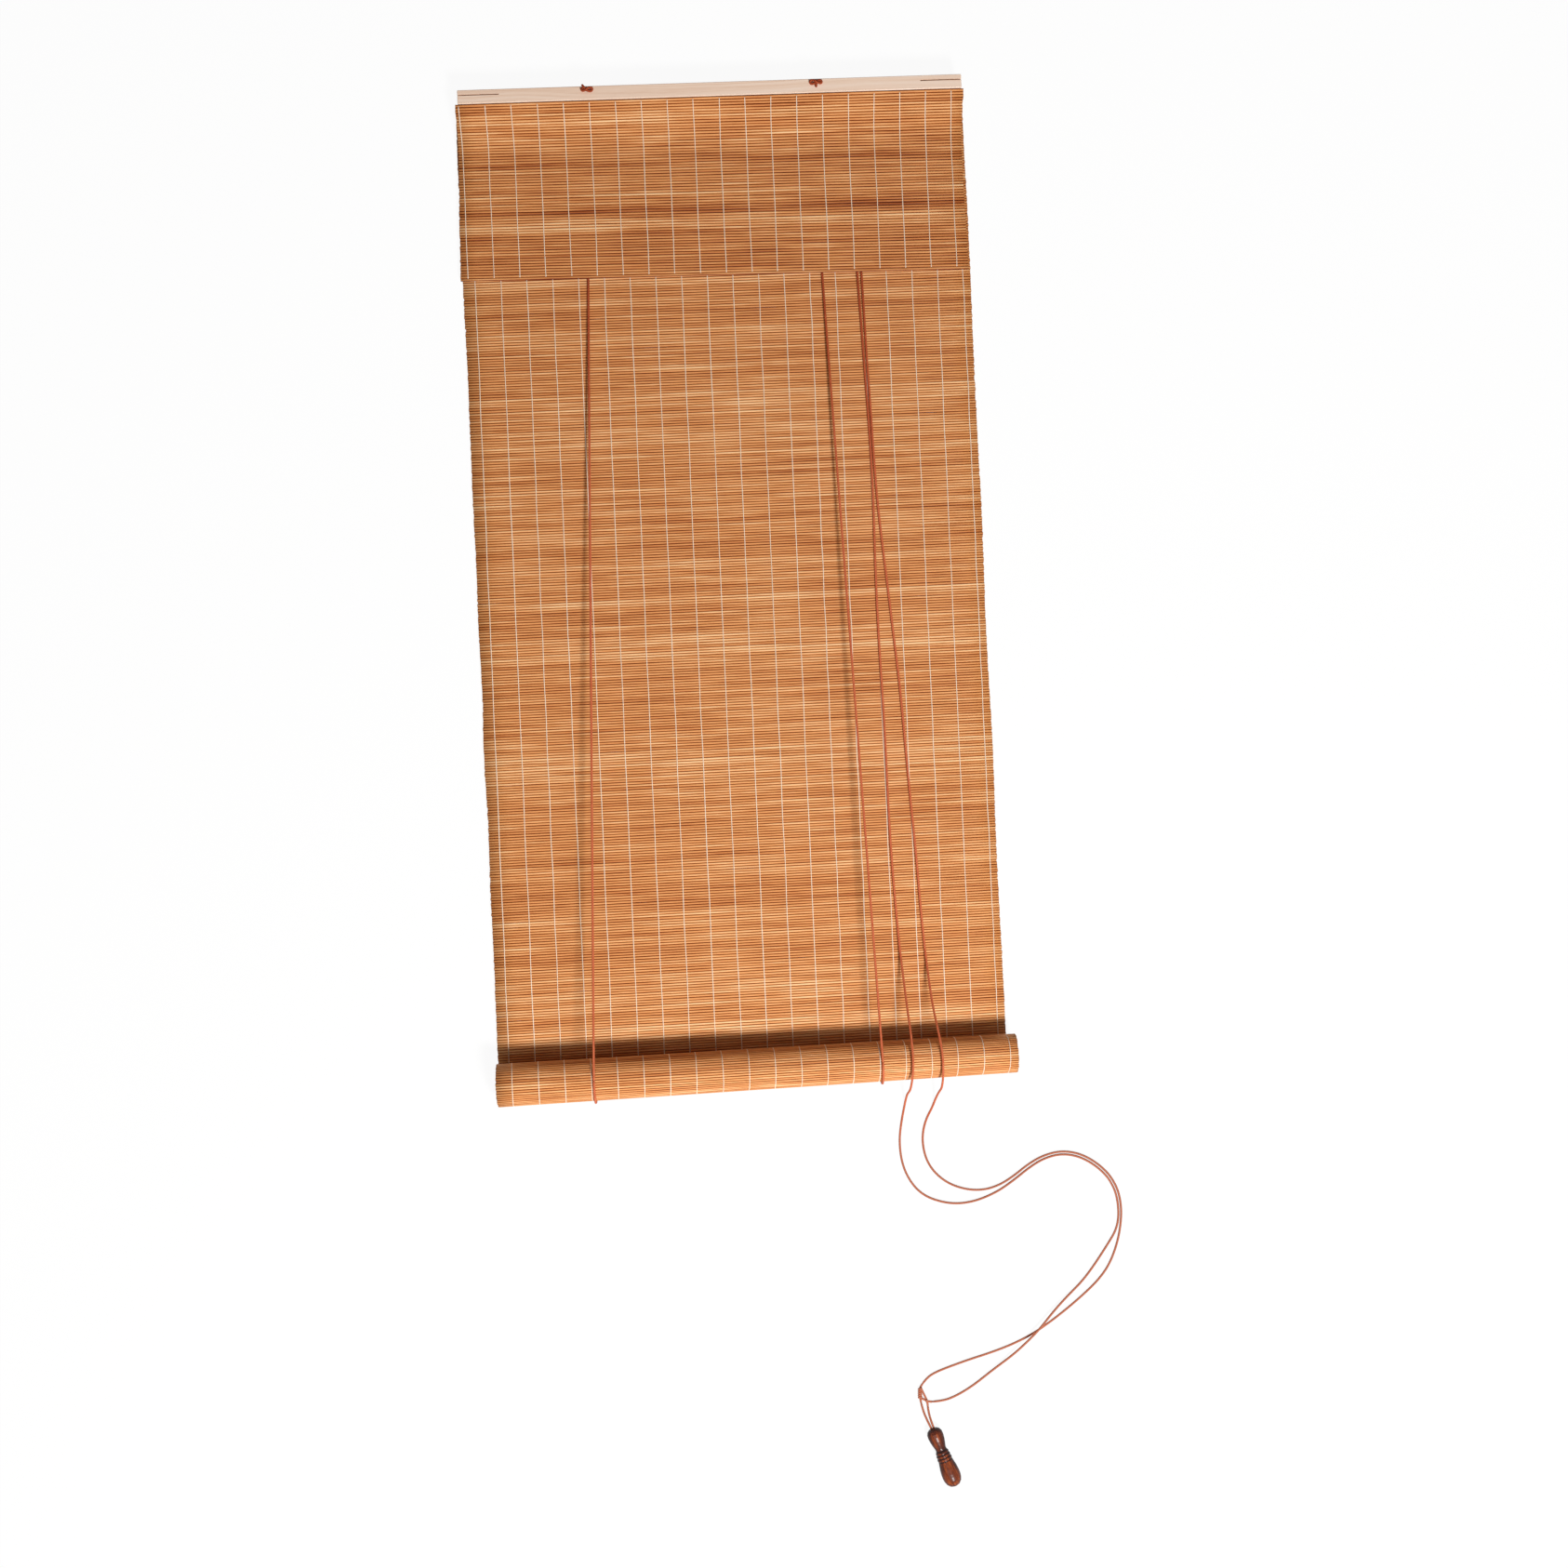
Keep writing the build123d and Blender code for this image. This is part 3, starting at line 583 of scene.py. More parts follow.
roll = {
    "radius": 26.4,
    "layer": 2.65,
    "turns": 6.85,
    "pitch": 3.0,
    "floor": 2.9,
    "ends": (-296.3, 304.9),
    "axisY": (-562.9, -555.2),
    "diameters": (52.4, 47.5),
    "threadShift": 5.5,
    "threadBow": 1.6,
    "threadTurns": 1.25,
    # from the spiral's outline in to the slats' middles
    "inset": 1.0,
}
rollLow, rollHigh = nodeBox("mat_roll")
rollAxisY = (rollLow[1] + rollHigh[1]) / 2
headY = nodeBox("head_batten")[0][1]
matLow, matHigh = nodeBox("main_mat")


def alongRoll(x, pair):
    # from the first value at the roll's left end to the second at its right end
    share = (x - roll["ends"][0]) / (roll["ends"][1] - roll["ends"][0])
    return pair[0] + (pair[1] - pair[0]) * share


def settle(points):
    # the true spiral becomes the lying one: scaled about its lowest line and shifted, both with x
    x = points[..., 0]
    scale = alongRoll(x, roll["diameters"]) / (2 * roll["radius"])
    y = alongRoll(x, roll["axisY"]) + scale * (points[..., 1] - rollAxisY)
    z = roll["floor"] + scale * (points[..., 2] - roll["floor"])
    return np.stack([x, y, z], -1)


def rollCircle(x, radiusAdd, angle):
    # points round the lying roll, the angle from its bottom, over the -Y side first
    radius = alongRoll(x, roll["diameters"]) / 2
    reach = radius + radiusAdd
    y = alongRoll(x, roll["axisY"]) - reach * np.sin(angle)
    z = roll["floor"] + radius - reach * np.cos(angle)
    return np.stack([np.full_like(angle, x), y, z], -1)


# The roll's travel, and helpers for the soft parts

travelJoint = next(joint for joint in frame["joints"] if joint["name"] == "roll_travel")
travel = travelJoint["range_m"][1] / mm
matKeep = 1 - travel / (matHigh[1] - rollAxisY)


def gather(piece):
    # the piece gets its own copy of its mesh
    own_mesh(piece)


def slideWith(piece, weights):
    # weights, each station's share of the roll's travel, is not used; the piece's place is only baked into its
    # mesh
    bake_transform(piece)


def spread(y, top, bottom):
    # 0 at the top, 1 at the bottom, even between them
    return np.clip((top - y) / (top - bottom), 0, 1)


# Free cords: the routes are the solids' own, lower over the lying roll

pull = {
    "diameter": 0.0026,
    "lengths": (1.938, 1.911),
    "rise": -420.0,
    "letGo": -609.0,
    "rest": -712.0,
}
hardwareY = headY - 6.5
routeA = [
    (164.2, 557.95, 6.5), (164.2, 523, 6.5), (163.2, 470, 6.5),
    (162.6, 418, 6.5), (163.2, 367, 6.5), (165.2, 312, 6.5),
    (166.7, 258, 6.5), (168.5, 204, 6.5), (169.9, 150, 6.5),
    (170.0, 94, 6.5), (169.1, 38, 6.5), (168.7, -18, 6.5),
    (169.1, -74, 6.5), (170.3, -130, 6.5), (171.2, -186, 6.5),
    (171.1, -242, 6.5), (171.6, -298, 6.5), (172.8, -343, 6.5),
    (174.4, -381, 6.5), (175.8, -409, 6.5), (177.0, -433, 8),
    (178.5, -462, 18), (179.8, -492, 31.5), (181.4, -522, 46.5),
    (182.3, -545, 54.6), (181.6, -571, 54.6), (178.9, -591, 41),
    (176.9, -598, 18), (175.6, -609, 1.3), (169.7, -633.6, 1.3),
    (166.5, -654, 1.3), (167.7, -677, 1.3), (173.4, -696, 1.3),
    (184.6, -713.5, 1.3), (200.5, -724.8, 1.3), (225.4, -732, 1.3),
    (250.7, -730.6, 1.3), (277.5, -721.2, 1.3), (298.2, -708.4, 1.3),
    (317.2, -694.4, 1.3), (335.8, -683.8, 1.3), (358.8, -679.2, 1.3),
    (383.0, -685.8, 1.3), (406.0, -703.6, 1.3), (417.3, -722.3, 1.3),
    (421.0, -740.6, 1.3), (420.8, -759, 1.3), (416.4, -773.6, 1.3),
    (407.4, -787, 1.3), (391.3, -809.5, 1.3), (375.0, -829.6, 1.3),
    (354.6, -847.6, 2.2), (337.2, -863.8, 5.2), (320.5, -882.4, 7.1),
    (304.6, -896.8, 7.1), (288.4, -911.0, 4.6), (264.0, -928.0, 1.7),
    (239.5, -945.6, 1.3), (219.4, -956.2, 1.3), (203.8, -961.2, 1.3),
    (190.5, -961.4, 1.3),
]
routeB = [
    (166.9, 557.95, 6.5), (166.9, 523, 6.5), (167.3, 470, 6.5),
    (167.5, 418, 6.5), (168.2, 367, 6.5), (169.3, 312, 6.5),
    (170.1, 258, 6.5), (171.8, 204, 6.5), (172.9, 150, 6.5),
    (174.6, 98, 6.5), (178.3, 45, 6.5), (182.6, -8, 6.5),
    (186.4, -60, 6.5), (190.6, -113, 6.5), (193.2, -162, 6.5),
    (195.3, -212, 6.5), (198.1, -266, 6.5), (201.3, -321, 6.5),
    (203.1, -372, 6.5), (205.5, -420, 6.5), (207.3, -445, 8.5),
    (208.7, -472, 19), (210.2, -498, 32), (213.6, -524, 46.5),
    (216.4, -547, 54.2), (216.6, -571, 54.2), (215.6, -590, 41),
    (213.9, -597.5, 19), (211.0, -607.5, 3.6), (206.6, -618.4, 1.3),
    (199.6, -630, 1.3), (194.8, -644.4, 1.3), (193.6, -660, 1.3),
    (197.1, -678.6, 1.3), (206.3, -694.4, 1.3), (222.1, -708.0, 1.3),
    (243.7, -716.2, 1.3), (264.5, -717.4, 1.3), (283.3, -712.0, 1.3),
    (300.0, -702.2, 1.3), (316.0, -690.4, 1.3), (334.8, -680.4, 1.3),
    (358.9, -675.8, 1.3), (384.6, -682.6, 1.3), (408.4, -701.2, 1.3),
    (420.3, -720.8, 1.3), (424.4, -740.2, 1.3), (424.0, -760, 1.3),
    (418.6, -786, 1.3), (407.6, -812, 1.3), (393.4, -829.8, 1.3),
    (375.0, -845.8, 1.3), (355.0, -861.2, 1.3), (335.1, -875.2, 1.3),
    (314.0, -888.2, 1.3), (290.0, -899.0, 1.3), (264.4, -907.4, 1.3),
    (238.9, -914.0, 1.3), (216.6, -920.6, 1.3), (197.4, -926.8, 1.3),
    (186.2, -933.0, 1.3), (180.3, -940.4, 1.3),
]


def pullWeights(path):
    # a growing share of the travel along the mat, all of it over the roll, then none on the floor
    run = np.concatenate([[0], np.cumsum(np.linalg.norm(np.diff(path, axis=0), axis=1))])
    top = int(np.argmin(np.abs(path[:, 1] - rollAxisY)))
    down = int(np.argmax((path[:, 1] < pull["letGo"]) & (np.arange(len(path)) > top)))
    rest = int(np.argmax((path[:, 1] < pull["rest"]) & (np.arange(len(path)) > down)))
    weights = spread(path[:, 1], path[0, 1], pull["rise"])
    weights[down:] = np.clip((run[rest] - run[down:]) / (run[rest] - run[down]), 0, 1)
    return weights


def tasselFrame():
    # it lies on both bulbs, so its narrow end is a little lower
    (alongA, radiusA), (alongB, radiusB) = tasselLook["bulbs"]
    lean = math.asin((radiusB - radiusA) / (alongB - alongA))
    height = radiusA / math.cos(lean) - alongA * math.sin(lean) + 0.03
    way = np.array([*tasselLook["way"], 0.0]) * math.cos(lean)
    way[2] = math.sin(lean)
    side = np.array([-tasselLook["way"][1], tasselLook["way"][0], 0.0])
    return np.array([*tasselLook["top"], height]), way / np.linalg.norm(way), side


def tasselPoint(side, along):
    # a place beside the tassel's axis and along it
    top, way, across = tasselFrame()
    return tuple(top + across * side + way * along)


def smoothTassel():
    # the turned solid keeps its shape, and a fine remesh rounds the steps of its outline
    tassel = frame["nodes"]["tassel"]
    remesh = tassel.modifiers.new("remesh", "REMESH")
    remesh.mode = "VOXEL"
    remesh.voxel_size = tasselLook["voxel"]
    remesh.use_smooth_shade = True
    smooth = tassel.modifiers.new("smooth", "SMOOTH")
    smooth.factor = 0.5
    smooth.iterations = tasselLook["passes"]
    return tassel


hitch = {
    "top": (177.4, -944.4, 2.2),
    "foot": (176.9, -955.4, 2.2),
    "side": (185.0, -960.0, 2.2),
    "leftLeg": (177.9, -961.5, 1.3),
    "rightLeg": (185.6, -965.6, 1.3),
    # the winding: its turns and points, how far out it lies, how flat it is and its lift
    "turns": 4.5,
    "stations": 96,
    "out": 1.4,
    "flat": 0.8,
    "lift": 0.2,
}
# where the tassel's legs enter it, along its axis
legEnds = (-1.0, 8.0)
legs = {
    "tassel_cord_left": {
        "length": 0.0409,
        "route": [hitch["leftLeg"], (179.9, -971.6, 2.0), (183.9, -981.8, 6.2)],
        "side": -1.35,
    },
    "tassel_cord_right": {
        "length": 0.0348,
        "route": [hitch["rightLeg"], (186.2, -973.6, 2.4), (188.2, -982.0, 6.4)],
        "side": 1.35,
    },
}


def makeHitch():
    # the strands' ends wound once round each other, then the two legs of the tassel's loop
    top, foot, side = [np.array(hitch[key]) for key in ("top", "foot", "side")]
    share = np.linspace(0, 1, hitch["stations"])[:, None]
    spin = 2 * math.pi * hitch["turns"] * share
    ring = np.c_[np.cos(spin), 0 * spin, hitch["flat"] * np.sin(spin) + hitch["lift"]]
    wound = top + (foot - top) * share + hitch["out"] * ring
    overTop = tuple(top + (0.8, 0.6, 1.0))
    overSide = tuple(side + (-0.8, 2.4, 1.4))
    routes = [
        [routeB[-1], (178.4, -943.0, 1.6), tuple(top), tuple(foot), hitch["leftLeg"]],
        [overTop, (180.6, -949.4, 3.4), (183.4, -955.6, 3.2), tuple(side)],
        [routeA[-1], (187.4, -961.0, 1.6), tuple(side), (181.0, -957.6, 3.0), tuple(foot)],
        [overSide, (184.6, -961.2, 3.8), (185.6, -963.2, 2.2), hitch["rightLeg"]],
    ]
    lines = [followRoute(route) for route in routes]
    lines.insert(1, wound)
    shapes = [carryRing(line, cord["diameter"] / 2, cord["sides"]).reshape(-1, 3) for line in lines]
    faces = []
    maps = []
    total = 0
    for line, shape in zip(lines, shapes):
        faces += [rows + total for rows in bundleFaces(1, len(line), cord["sides"])]
        maps.append(tubeMap(line, cord["sides"]))
        total += len(shape)
    piece = meshPiece("pull_hitch", np.concatenate(shapes), faces, "cord", uv=np.concatenate(maps))
    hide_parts("pull_knot")
    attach(piece, "head")
    return piece


def makeFreeCords():
    # the tassel's two legs, then the two strands that come out from under the valance
    tassel = smoothTassel()
    knot = makeHitch()
    for node, leg in legs.items():
        path = followRoute(leg["route"] + [tasselPoint(leg["side"], along) for along in legEnds])
        piece = cordTube(node.replace("cord", "leg"), path)
        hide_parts(node)
        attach(piece, "head")
    strands = {"pull_cord_a": ("pull_strand_a", routeA), "pull_cord_b": ("pull_strand_b", routeB)}
    for (node, (name, route)), length in zip(strands.items(), pull["lengths"]):
        path = followRoute(route)
        piece = cordTube(name, path)
        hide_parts(node)
        slideWith(piece, pullWeights(path))


makeFreeCords()
print("free cords laid")


# Lift cords, held by the object

lift = {
    "left": {"hole": -143.0, "loop": -184.3, "hem": -152.7, "sheave": (-140.7, 18.4), "drop": 166.9},
    "right": {"hole": 123.0, "loop": 147.5, "hem": 122.1, "sheave": (127.8, 15.7), "drop": 164.2},
}
liftShared = {
    "holeY": headY + 11.5,
    "onSheave": 6.3,
    "matZ": 6.5,
    "touchY": 363.0,
    "battenTop": 34.9,
    "gap": 0.25,
}
# the stop knots, from the hole's middle at the batten's top
knotRoutes = {
    "left": [
        (0, 0, -6), (0, 0, 0.4), (-1.8, 1.4, 2.0),
        (-4.8, 1.6, 1.8), (-6.6, 0.2, 1.9), (-5.4, -2.0, 2.4),
        (-2.0, -1.8, 4.0), (1.2, 0.6, 4.6), (4.2, 2.0, 3.4),
        (6.4, 0.8, 2.0), (5.8, -1.8, 1.9), (2.8, -2.6, 2.0),
        (-0.6, -1.0, 2.4), (-2.6, 1.6, 3.4), (-4.6, 3.8, 3.0),
        (-5.4, 5.4, 1.8),
    ],
    "right": [
        (0, 0, -6), (0, 0, 0.4), (1.8, 1.6, 2.0),
        (5.0, 1.8, 1.9), (7.0, 0.0, 1.9), (5.6, -2.2, 2.3),
        (2.0, -1.6, 4.0), (-1.6, 0.8, 4.6), (-4.6, 2.0, 3.2),
        (-7.2, 0.6, 2.0), (-6.4, -2.2, 1.9), (-3.2, -2.4, 2.2),
        (-0.2, -0.8, 2.6), (0.6, -3.6, 2.4), (-0.4, -6.2, 1.7),
    ],
}


def makeLiftCords(side):
    # From the stop knot through the batten, down behind the mat, round the roll, up in front to the
    # hem, over the sheave and across to the lock. The points between are chosen.
    look = lift[side]
    shared = liftShared
    half = cord["diameter"] / 2
    holeY = shared["holeY"]
    sheaveX, sheaveZ = look["sheave"]
    riseX = sheaveX - shared["onSheave"]
    lineZ = sheaveZ + shared["onSheave"]

    knot = [(look["hole"], holeY - 5.1, half), (look["hole"], holeY - 0.8, half), (look["hole"], holeY, 3)]
    knot += [(look["hole"] + x, holeY + y, shared["battenTop"] + z) for x, y, z in knotRoutes[side]]
    piece = cordTube(f"{side}_stop_knot", followRoute(knot, 8))
    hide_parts(f"{side}_knot")
    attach(piece, "head")

    bottomY = alongRoll(look["loop"], roll["axisY"])
    back = [(look["hole"], holeY - 5.1, half), (look["hole"], holeY - 19, half)]
    back += [(look["loop"], bottomY + 16, half), (look["loop"], bottomY + 0.3, half)]
    path = followRoute(back, 24)
    piece = cordTube(f"{side}_lift_cord_behind", path)
    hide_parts(f"{side}_back_cord")
    slideWith(piece, spread(path[:, 1], path[0, 1], rollAxisY))

    radius = alongRoll(look["loop"], roll["diameters"]) / 2
    reach = radius + half + shared["gap"]
    acrossY = shared["touchY"] - bottomY
    drop = roll["floor"] + radius - shared["matZ"]
    # the taut cord touches the roll where the line to the hem is tangent to it
    tangent = math.acos(reach / math.hypot(acrossY, drop)) - math.atan2(drop, acrossY)
    leave = 1.5 * math.pi - tangent
    angle = np.linspace(0, leave, 48)
    path = rollCircle(look["loop"], half + shared["gap"], angle)
    piece = cordTube(f"{side}_lift_cord_round_roll", path)
    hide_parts(f"{side}_cord_loop")
    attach(piece, "carrier")

    start = path[-1]
    hem = np.array([look["hem"], shared["touchY"], shared["matZ"]])
    front = [tuple(start + (hem - start) * share) for share in (0.0, 0.02, 0.97, 1.0)]
    front += [
        (look["hem"] + (riseX - look["hem"]) * 0.25, shared["touchY"] + 40, shared["matZ"]),
        (riseX, hardwareY - 40, shared["matZ"]),
        (riseX, hardwareY - 12, shared["matZ"]),
        (riseX, hardwareY, shared["matZ"]),
        (riseX, hardwareY, shared["matZ"] + 7),
        (riseX, hardwareY, lineZ),
        (riseX + 12, hardwareY, lineZ),
        (look["drop"] - 14, hardwareY, lineZ),
        (look["drop"], hardwareY, lineZ),
        (look["drop"], hardwareY, lineZ - 9),
        (look["drop"], hardwareY, shared["matZ"]),
        (look["drop"], hardwareY - 7.3, shared["matZ"]),
    ]
    path = followRoute(front, 16)
    piece = cordTube(f"{side}_lift_cord_in_front", path)
    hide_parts(f"{side}_front_cord")
    slideWith(piece, spread(path[:, 1], shared["touchY"], rollAxisY))


for side in lift:
    makeLiftCords(side)
print("lift cords strung")


# The mats

slat = {
    "stations": 24,
    "sides": 8,
    "squareness": 0.78,
    "width": 3.2,
    "thickness": 1.9,
    "uneven": 0.05,
    "bow": 0.11,
    "lift": 0.06,
    "waves": {"width": 160, "thickness": 120, "bow": 420, "lift": 300},
}
warp = {
    "width": 1.2,
    "height": 0.5,
    "over": 1.1,
    "dip": 0.55,
    "sway": 0.35,
    "step": 1.5,
    "wave": 160,
}
mat = {
    "edgesAtHem": (-298.4, 296.9),
    "edgesAtRoll": (-297.0, 296.9),
    "hemY": 369.0,
    "turn": math.radians(0.74),
    "firstThread": -284.6,
    "threadPitch": 30.15,
    "threads": 20,
    # the thread under the pull cords runs beside its place
    "strayThread": (15, 1.4),
    "pitch": 3.0,
    "edgeWave": 0.7,
    "edgeWaveLength": 300,
    "edgeRough": 0.22,
    # how far below the batten's front face its threads start
    "threadClear": 1.5,
}


def ragged(rng, left, right, count):
    # the slats' ends, with a slow wave and a little raggedness
    down = np.broadcast_to(np.arange(count) * mat["pitch"], (2, count))
    wave = mat["edgeWave"] * drift(rng, down, mat["edgeWaveLength"])
    rough = rng.normal(0, mat["edgeRough"], (2, count))
    return np.stack([left + wave[0] + rough[0], right + wave[1] + rough[1]], 1)


def makeMainMat():
    # the flat mat: even rows that turn a little more the lower they lie
    rng = np.random.default_rng(11)
    count = round((matHigh[1] - matLow[1]) / mat["pitch"])
    pitch = (matHigh[1] - matLow[1]) / count
    y = matLow[1] + pitch * (np.arange(count) + 0.5)
    middle = np.stack([y, np.full(count, (matLow[2] + matHigh[2]) / 2)], 1)
    up = np.tile([0.0, 1.0], (count, 1))
    tilt = math.tan(mat["turn"]) * (matHigh[1] - y) / (matHigh[1] - matLow[1])
    share = (mat["hemY"] - y) / (mat["hemY"] - matLow[1])
    left, right = [a + (b - a) * share for a, b in zip(mat["edgesAtHem"], mat["edgesAtRoll"])]
    rows = slatRows(slat, middle, up, tilt, ragged(rng, left, right, count), rng)
    piece = slatPiece("flat_mat_slats", rows, "slat_bamboo", rng)
    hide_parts("main_mat")
    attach(piece, "head")
    gather(piece)

    clear = y < headY - mat["threadClear"]      # the batten covers the rest
    crossings = (mat["firstThread"] + mat["threadPitch"] * np.arange(mat["threads"]))[:, None]
    stray, aside = mat["strayThread"]
    crossings[stray] += aside
    rows = threadRows(warp, middle[clear], up[clear], tilt[clear], crossings, rng, -1.0)
    piece = threadPiece("flat_mat_threads", rows)
    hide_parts("mat_threads")
    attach(piece, "head")
    gather(piece)


def makeRoll():
    # the mat's slats on a spiral whose radius falls by one layer a turn
    rng = np.random.default_rng(23)
    angles = []
    angle = 0.0
    while angle < 2 * math.pi * roll["turns"]:
        angles.append(angle)
        radius = roll["radius"] - roll["layer"] * angle / (2 * math.pi)
        angle += roll["pitch"] / (radius - roll["inset"])
    angle = np.array(angles)
    radius = roll["radius"] - roll["layer"] * angle / (2 * math.pi) - roll["inset"]
    axisZ = roll["floor"] + roll["radius"]
    up = np.stack([-np.sin(angle), -np.cos(angle)], 1)
    middle = np.stack([rollAxisY + radius * up[:, 0], axisZ + radius * up[:, 1]], 1)
    level = np.zeros(len(angle))
    ends = ragged(rng, roll["ends"][0], roll["ends"][1], len(angle))
    rows = settle(slatRows(slat, middle, up, level, ends, rng))
    piece = slatPiece("rolled_mat_slats", rows, "slat_bamboo", rng)
    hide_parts("mat_roll")
    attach(piece, "roll")

    shown = angle < 2 * math.pi * roll["threadTurns"]
    crossings = (mat["firstThread"] + mat["threadPitch"] * np.arange(mat["threads"]))[:, None]
    bend = roll["threadBow"] * np.sin(np.repeat(angle[shown], 2) - math.pi / 2)
    crossings = crossings + roll["threadShift"] + bend
    rows = threadRows(warp, middle[shown], up[shown], level[shown], crossings, rng, -1.0)
    piece = threadPiece("rolled_mat_threads", settle(rows))
    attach(piece, "roll")


rail = {"bevel": 0.8, "sides": 40}


def makeRail():
    # the round stick in the middle of the roll, lying as the roll does
    low, high = nodeBox("bottom_rail")
    radius = (high[2] - low[2]) / 2
    centre = (low + high) / 2
    bevel = rail["bevel"]
    x = np.array([low[0], low[0] + bevel, high[0] - bevel, high[0]])
    line = np.stack([x, np.full(4, centre[1]), np.full(4, centre[2])], 1)
    size = radius - np.array([bevel, 0, 0, bevel])
    points = settle(carryRing(line, size, rail["sides"]).reshape(-1, 3))
    piece = meshPiece("round_rail", points, bundleFaces(1, 4, rail["sides"]), "pine")
    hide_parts("bottom_rail")
    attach(piece, "roll")


valance = {
    "pitch": 3.2,
    "slope": math.radians(30.0),
    "bend": 60.0,
    "flatZ": 9.0,
    "topZ": 33.3,
    "seatGap": 0.55,
    "hemY": 369.0,
    # how far down each place is, and the edge's x there
    "leftEdge": ((0.0, -296.2), (1.0, -300.6)),
    "rightEdge": ((0.0, 296.0), (0.28, 292.7), (1.0, 294.6)),
    "hemTurn": -0.01055,
    "firstThread": -292.0,
    "slat": {"stations": 32, "width": 3.4, "uneven": 0.07, "bow": 0.14},
    # the ring points of a slat's lower side
    "lowerSide": slice(3, 6),
}


def valanceLine(distance):
    # Down the slope from the batten's top edge, round the bend, then flat above the mat. Returns
    # the middles and normals in Y and Z at each distance.
    slope = valance["slope"]
    bend = valance["bend"]
    topY = headY - valance["seatGap"]
    straight = (valance["topZ"] - valance["flatZ"] - bend * (1 - math.cos(slope))) / math.sin(slope)
    bendY = topY - straight * math.cos(slope)
    flatY = bendY - bend * math.sin(slope)
    tilt = np.clip(slope - (distance - straight) / bend, 0, slope)
    onSlope = distance < straight
    flat = np.maximum(distance - straight - bend * slope, 0)
    y = np.where(onSlope, topY - distance * math.cos(slope), flatY + bend * np.sin(tilt) - flat)
    z = np.where(
        onSlope,
        valance["topZ"] - distance * math.sin(slope),
        valance["flatZ"] + bend * (1 - np.cos(tilt)),
    )
    length = straight + bend * slope + flatY - valance["hemY"]
    return np.stack([y, z], 1), np.stack([-np.sin(tilt), np.cos(tilt)], 1), length


def makeValance():
    # the short mat on its curved line, wider and more uneven than the main one
    rng = np.random.default_rng(37)
    length = valanceLine(np.zeros(1))[2]
    count = round(length / valance["pitch"])
    distance = length * (np.arange(count) + 0.5) / count
    middle, up, _ = valanceLine(distance)
    tilt = valance["hemTurn"] * distance / length
    look = {**slat, **valance["slat"]}
    share = distance / length
    left, right = [np.interp(share, *zip(*valance[key])) for key in ("leftEdge", "rightEdge")]
    rows = slatRows(look, middle, up, tilt, ragged(rng, left, right, count), rng)
    piece = slatPiece("valance_slats", rows, slotOf["valance"], rng)
    # the last slat's lower side gets the full painted shade, for the dark gap under the hem
    flank = piece.data.attributes["flank"].data
    values = np.zeros(len(flank))
    flank.foreach_get("value", values)
    values.reshape(rows.shape[:3])[-1, :, valance["lowerSide"]] = 1.0
    flank.foreach_set("value", values)
    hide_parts("valance")
    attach(piece, "head")

    crossings = (valance["firstThread"] + mat["threadPitch"] * np.arange(mat["threads"]))[:, None]
    part = slice(0, count - 1)
    rows = threadRows(warp, middle[part], up[part], tilt[part], crossings, rng, 1.0)
    piece = threadPiece("valance_warp_threads", rows)
    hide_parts("valance_threads")
    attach(piece, "head")


makeMainMat()
makeRoll()
makeRail()
makeValance()
print("mats woven")


# The head batten

batten = {
    "edge": 0.9,
    "kerfWidth": 1.6,
    "kerfLength": 48.0,
    "kerfDepth": 12.0,
    "kerfFromRear": 6.0,
    "hole": 2.0,
    "holeSides": 24,
    "bevel": 0.6,
    # how far a cutter stands out of the batten
    "past": 2.0,
}


def battenRing(low, high, edge, inset):
    # a rectangle in Y and Z with four rounded corners
    corner = np.linspace(0, math.pi / 2, 5)
    turn = np.concatenate([corner + quarter * math.pi / 2 for quarter in range(4)])
    side = np.repeat([(1, 1), (-1, 1), (-1, -1), (1, -1)], 5, axis=0)
    half = (high[1:] - low[1:]) / 2 - edge
    middle = (high[1:] + low[1:]) / 2
    arc = (edge - inset) * np.stack([np.cos(turn), np.sin(turn)], 1)
    return middle + side * half + arc


def blockShape(low, high):
    # a plain block between two corners
    corners = np.array([(0, 0), (1, 0), (1, 1), (0, 1)])
    ring = low[1:] + corners * (high[1:] - low[1:])
    x = np.array([low[0], high[0]])
    points = np.concatenate([np.c_[np.full(4, value), ring] for value in x])
    return points, bundleFaces(1, 2, 4)


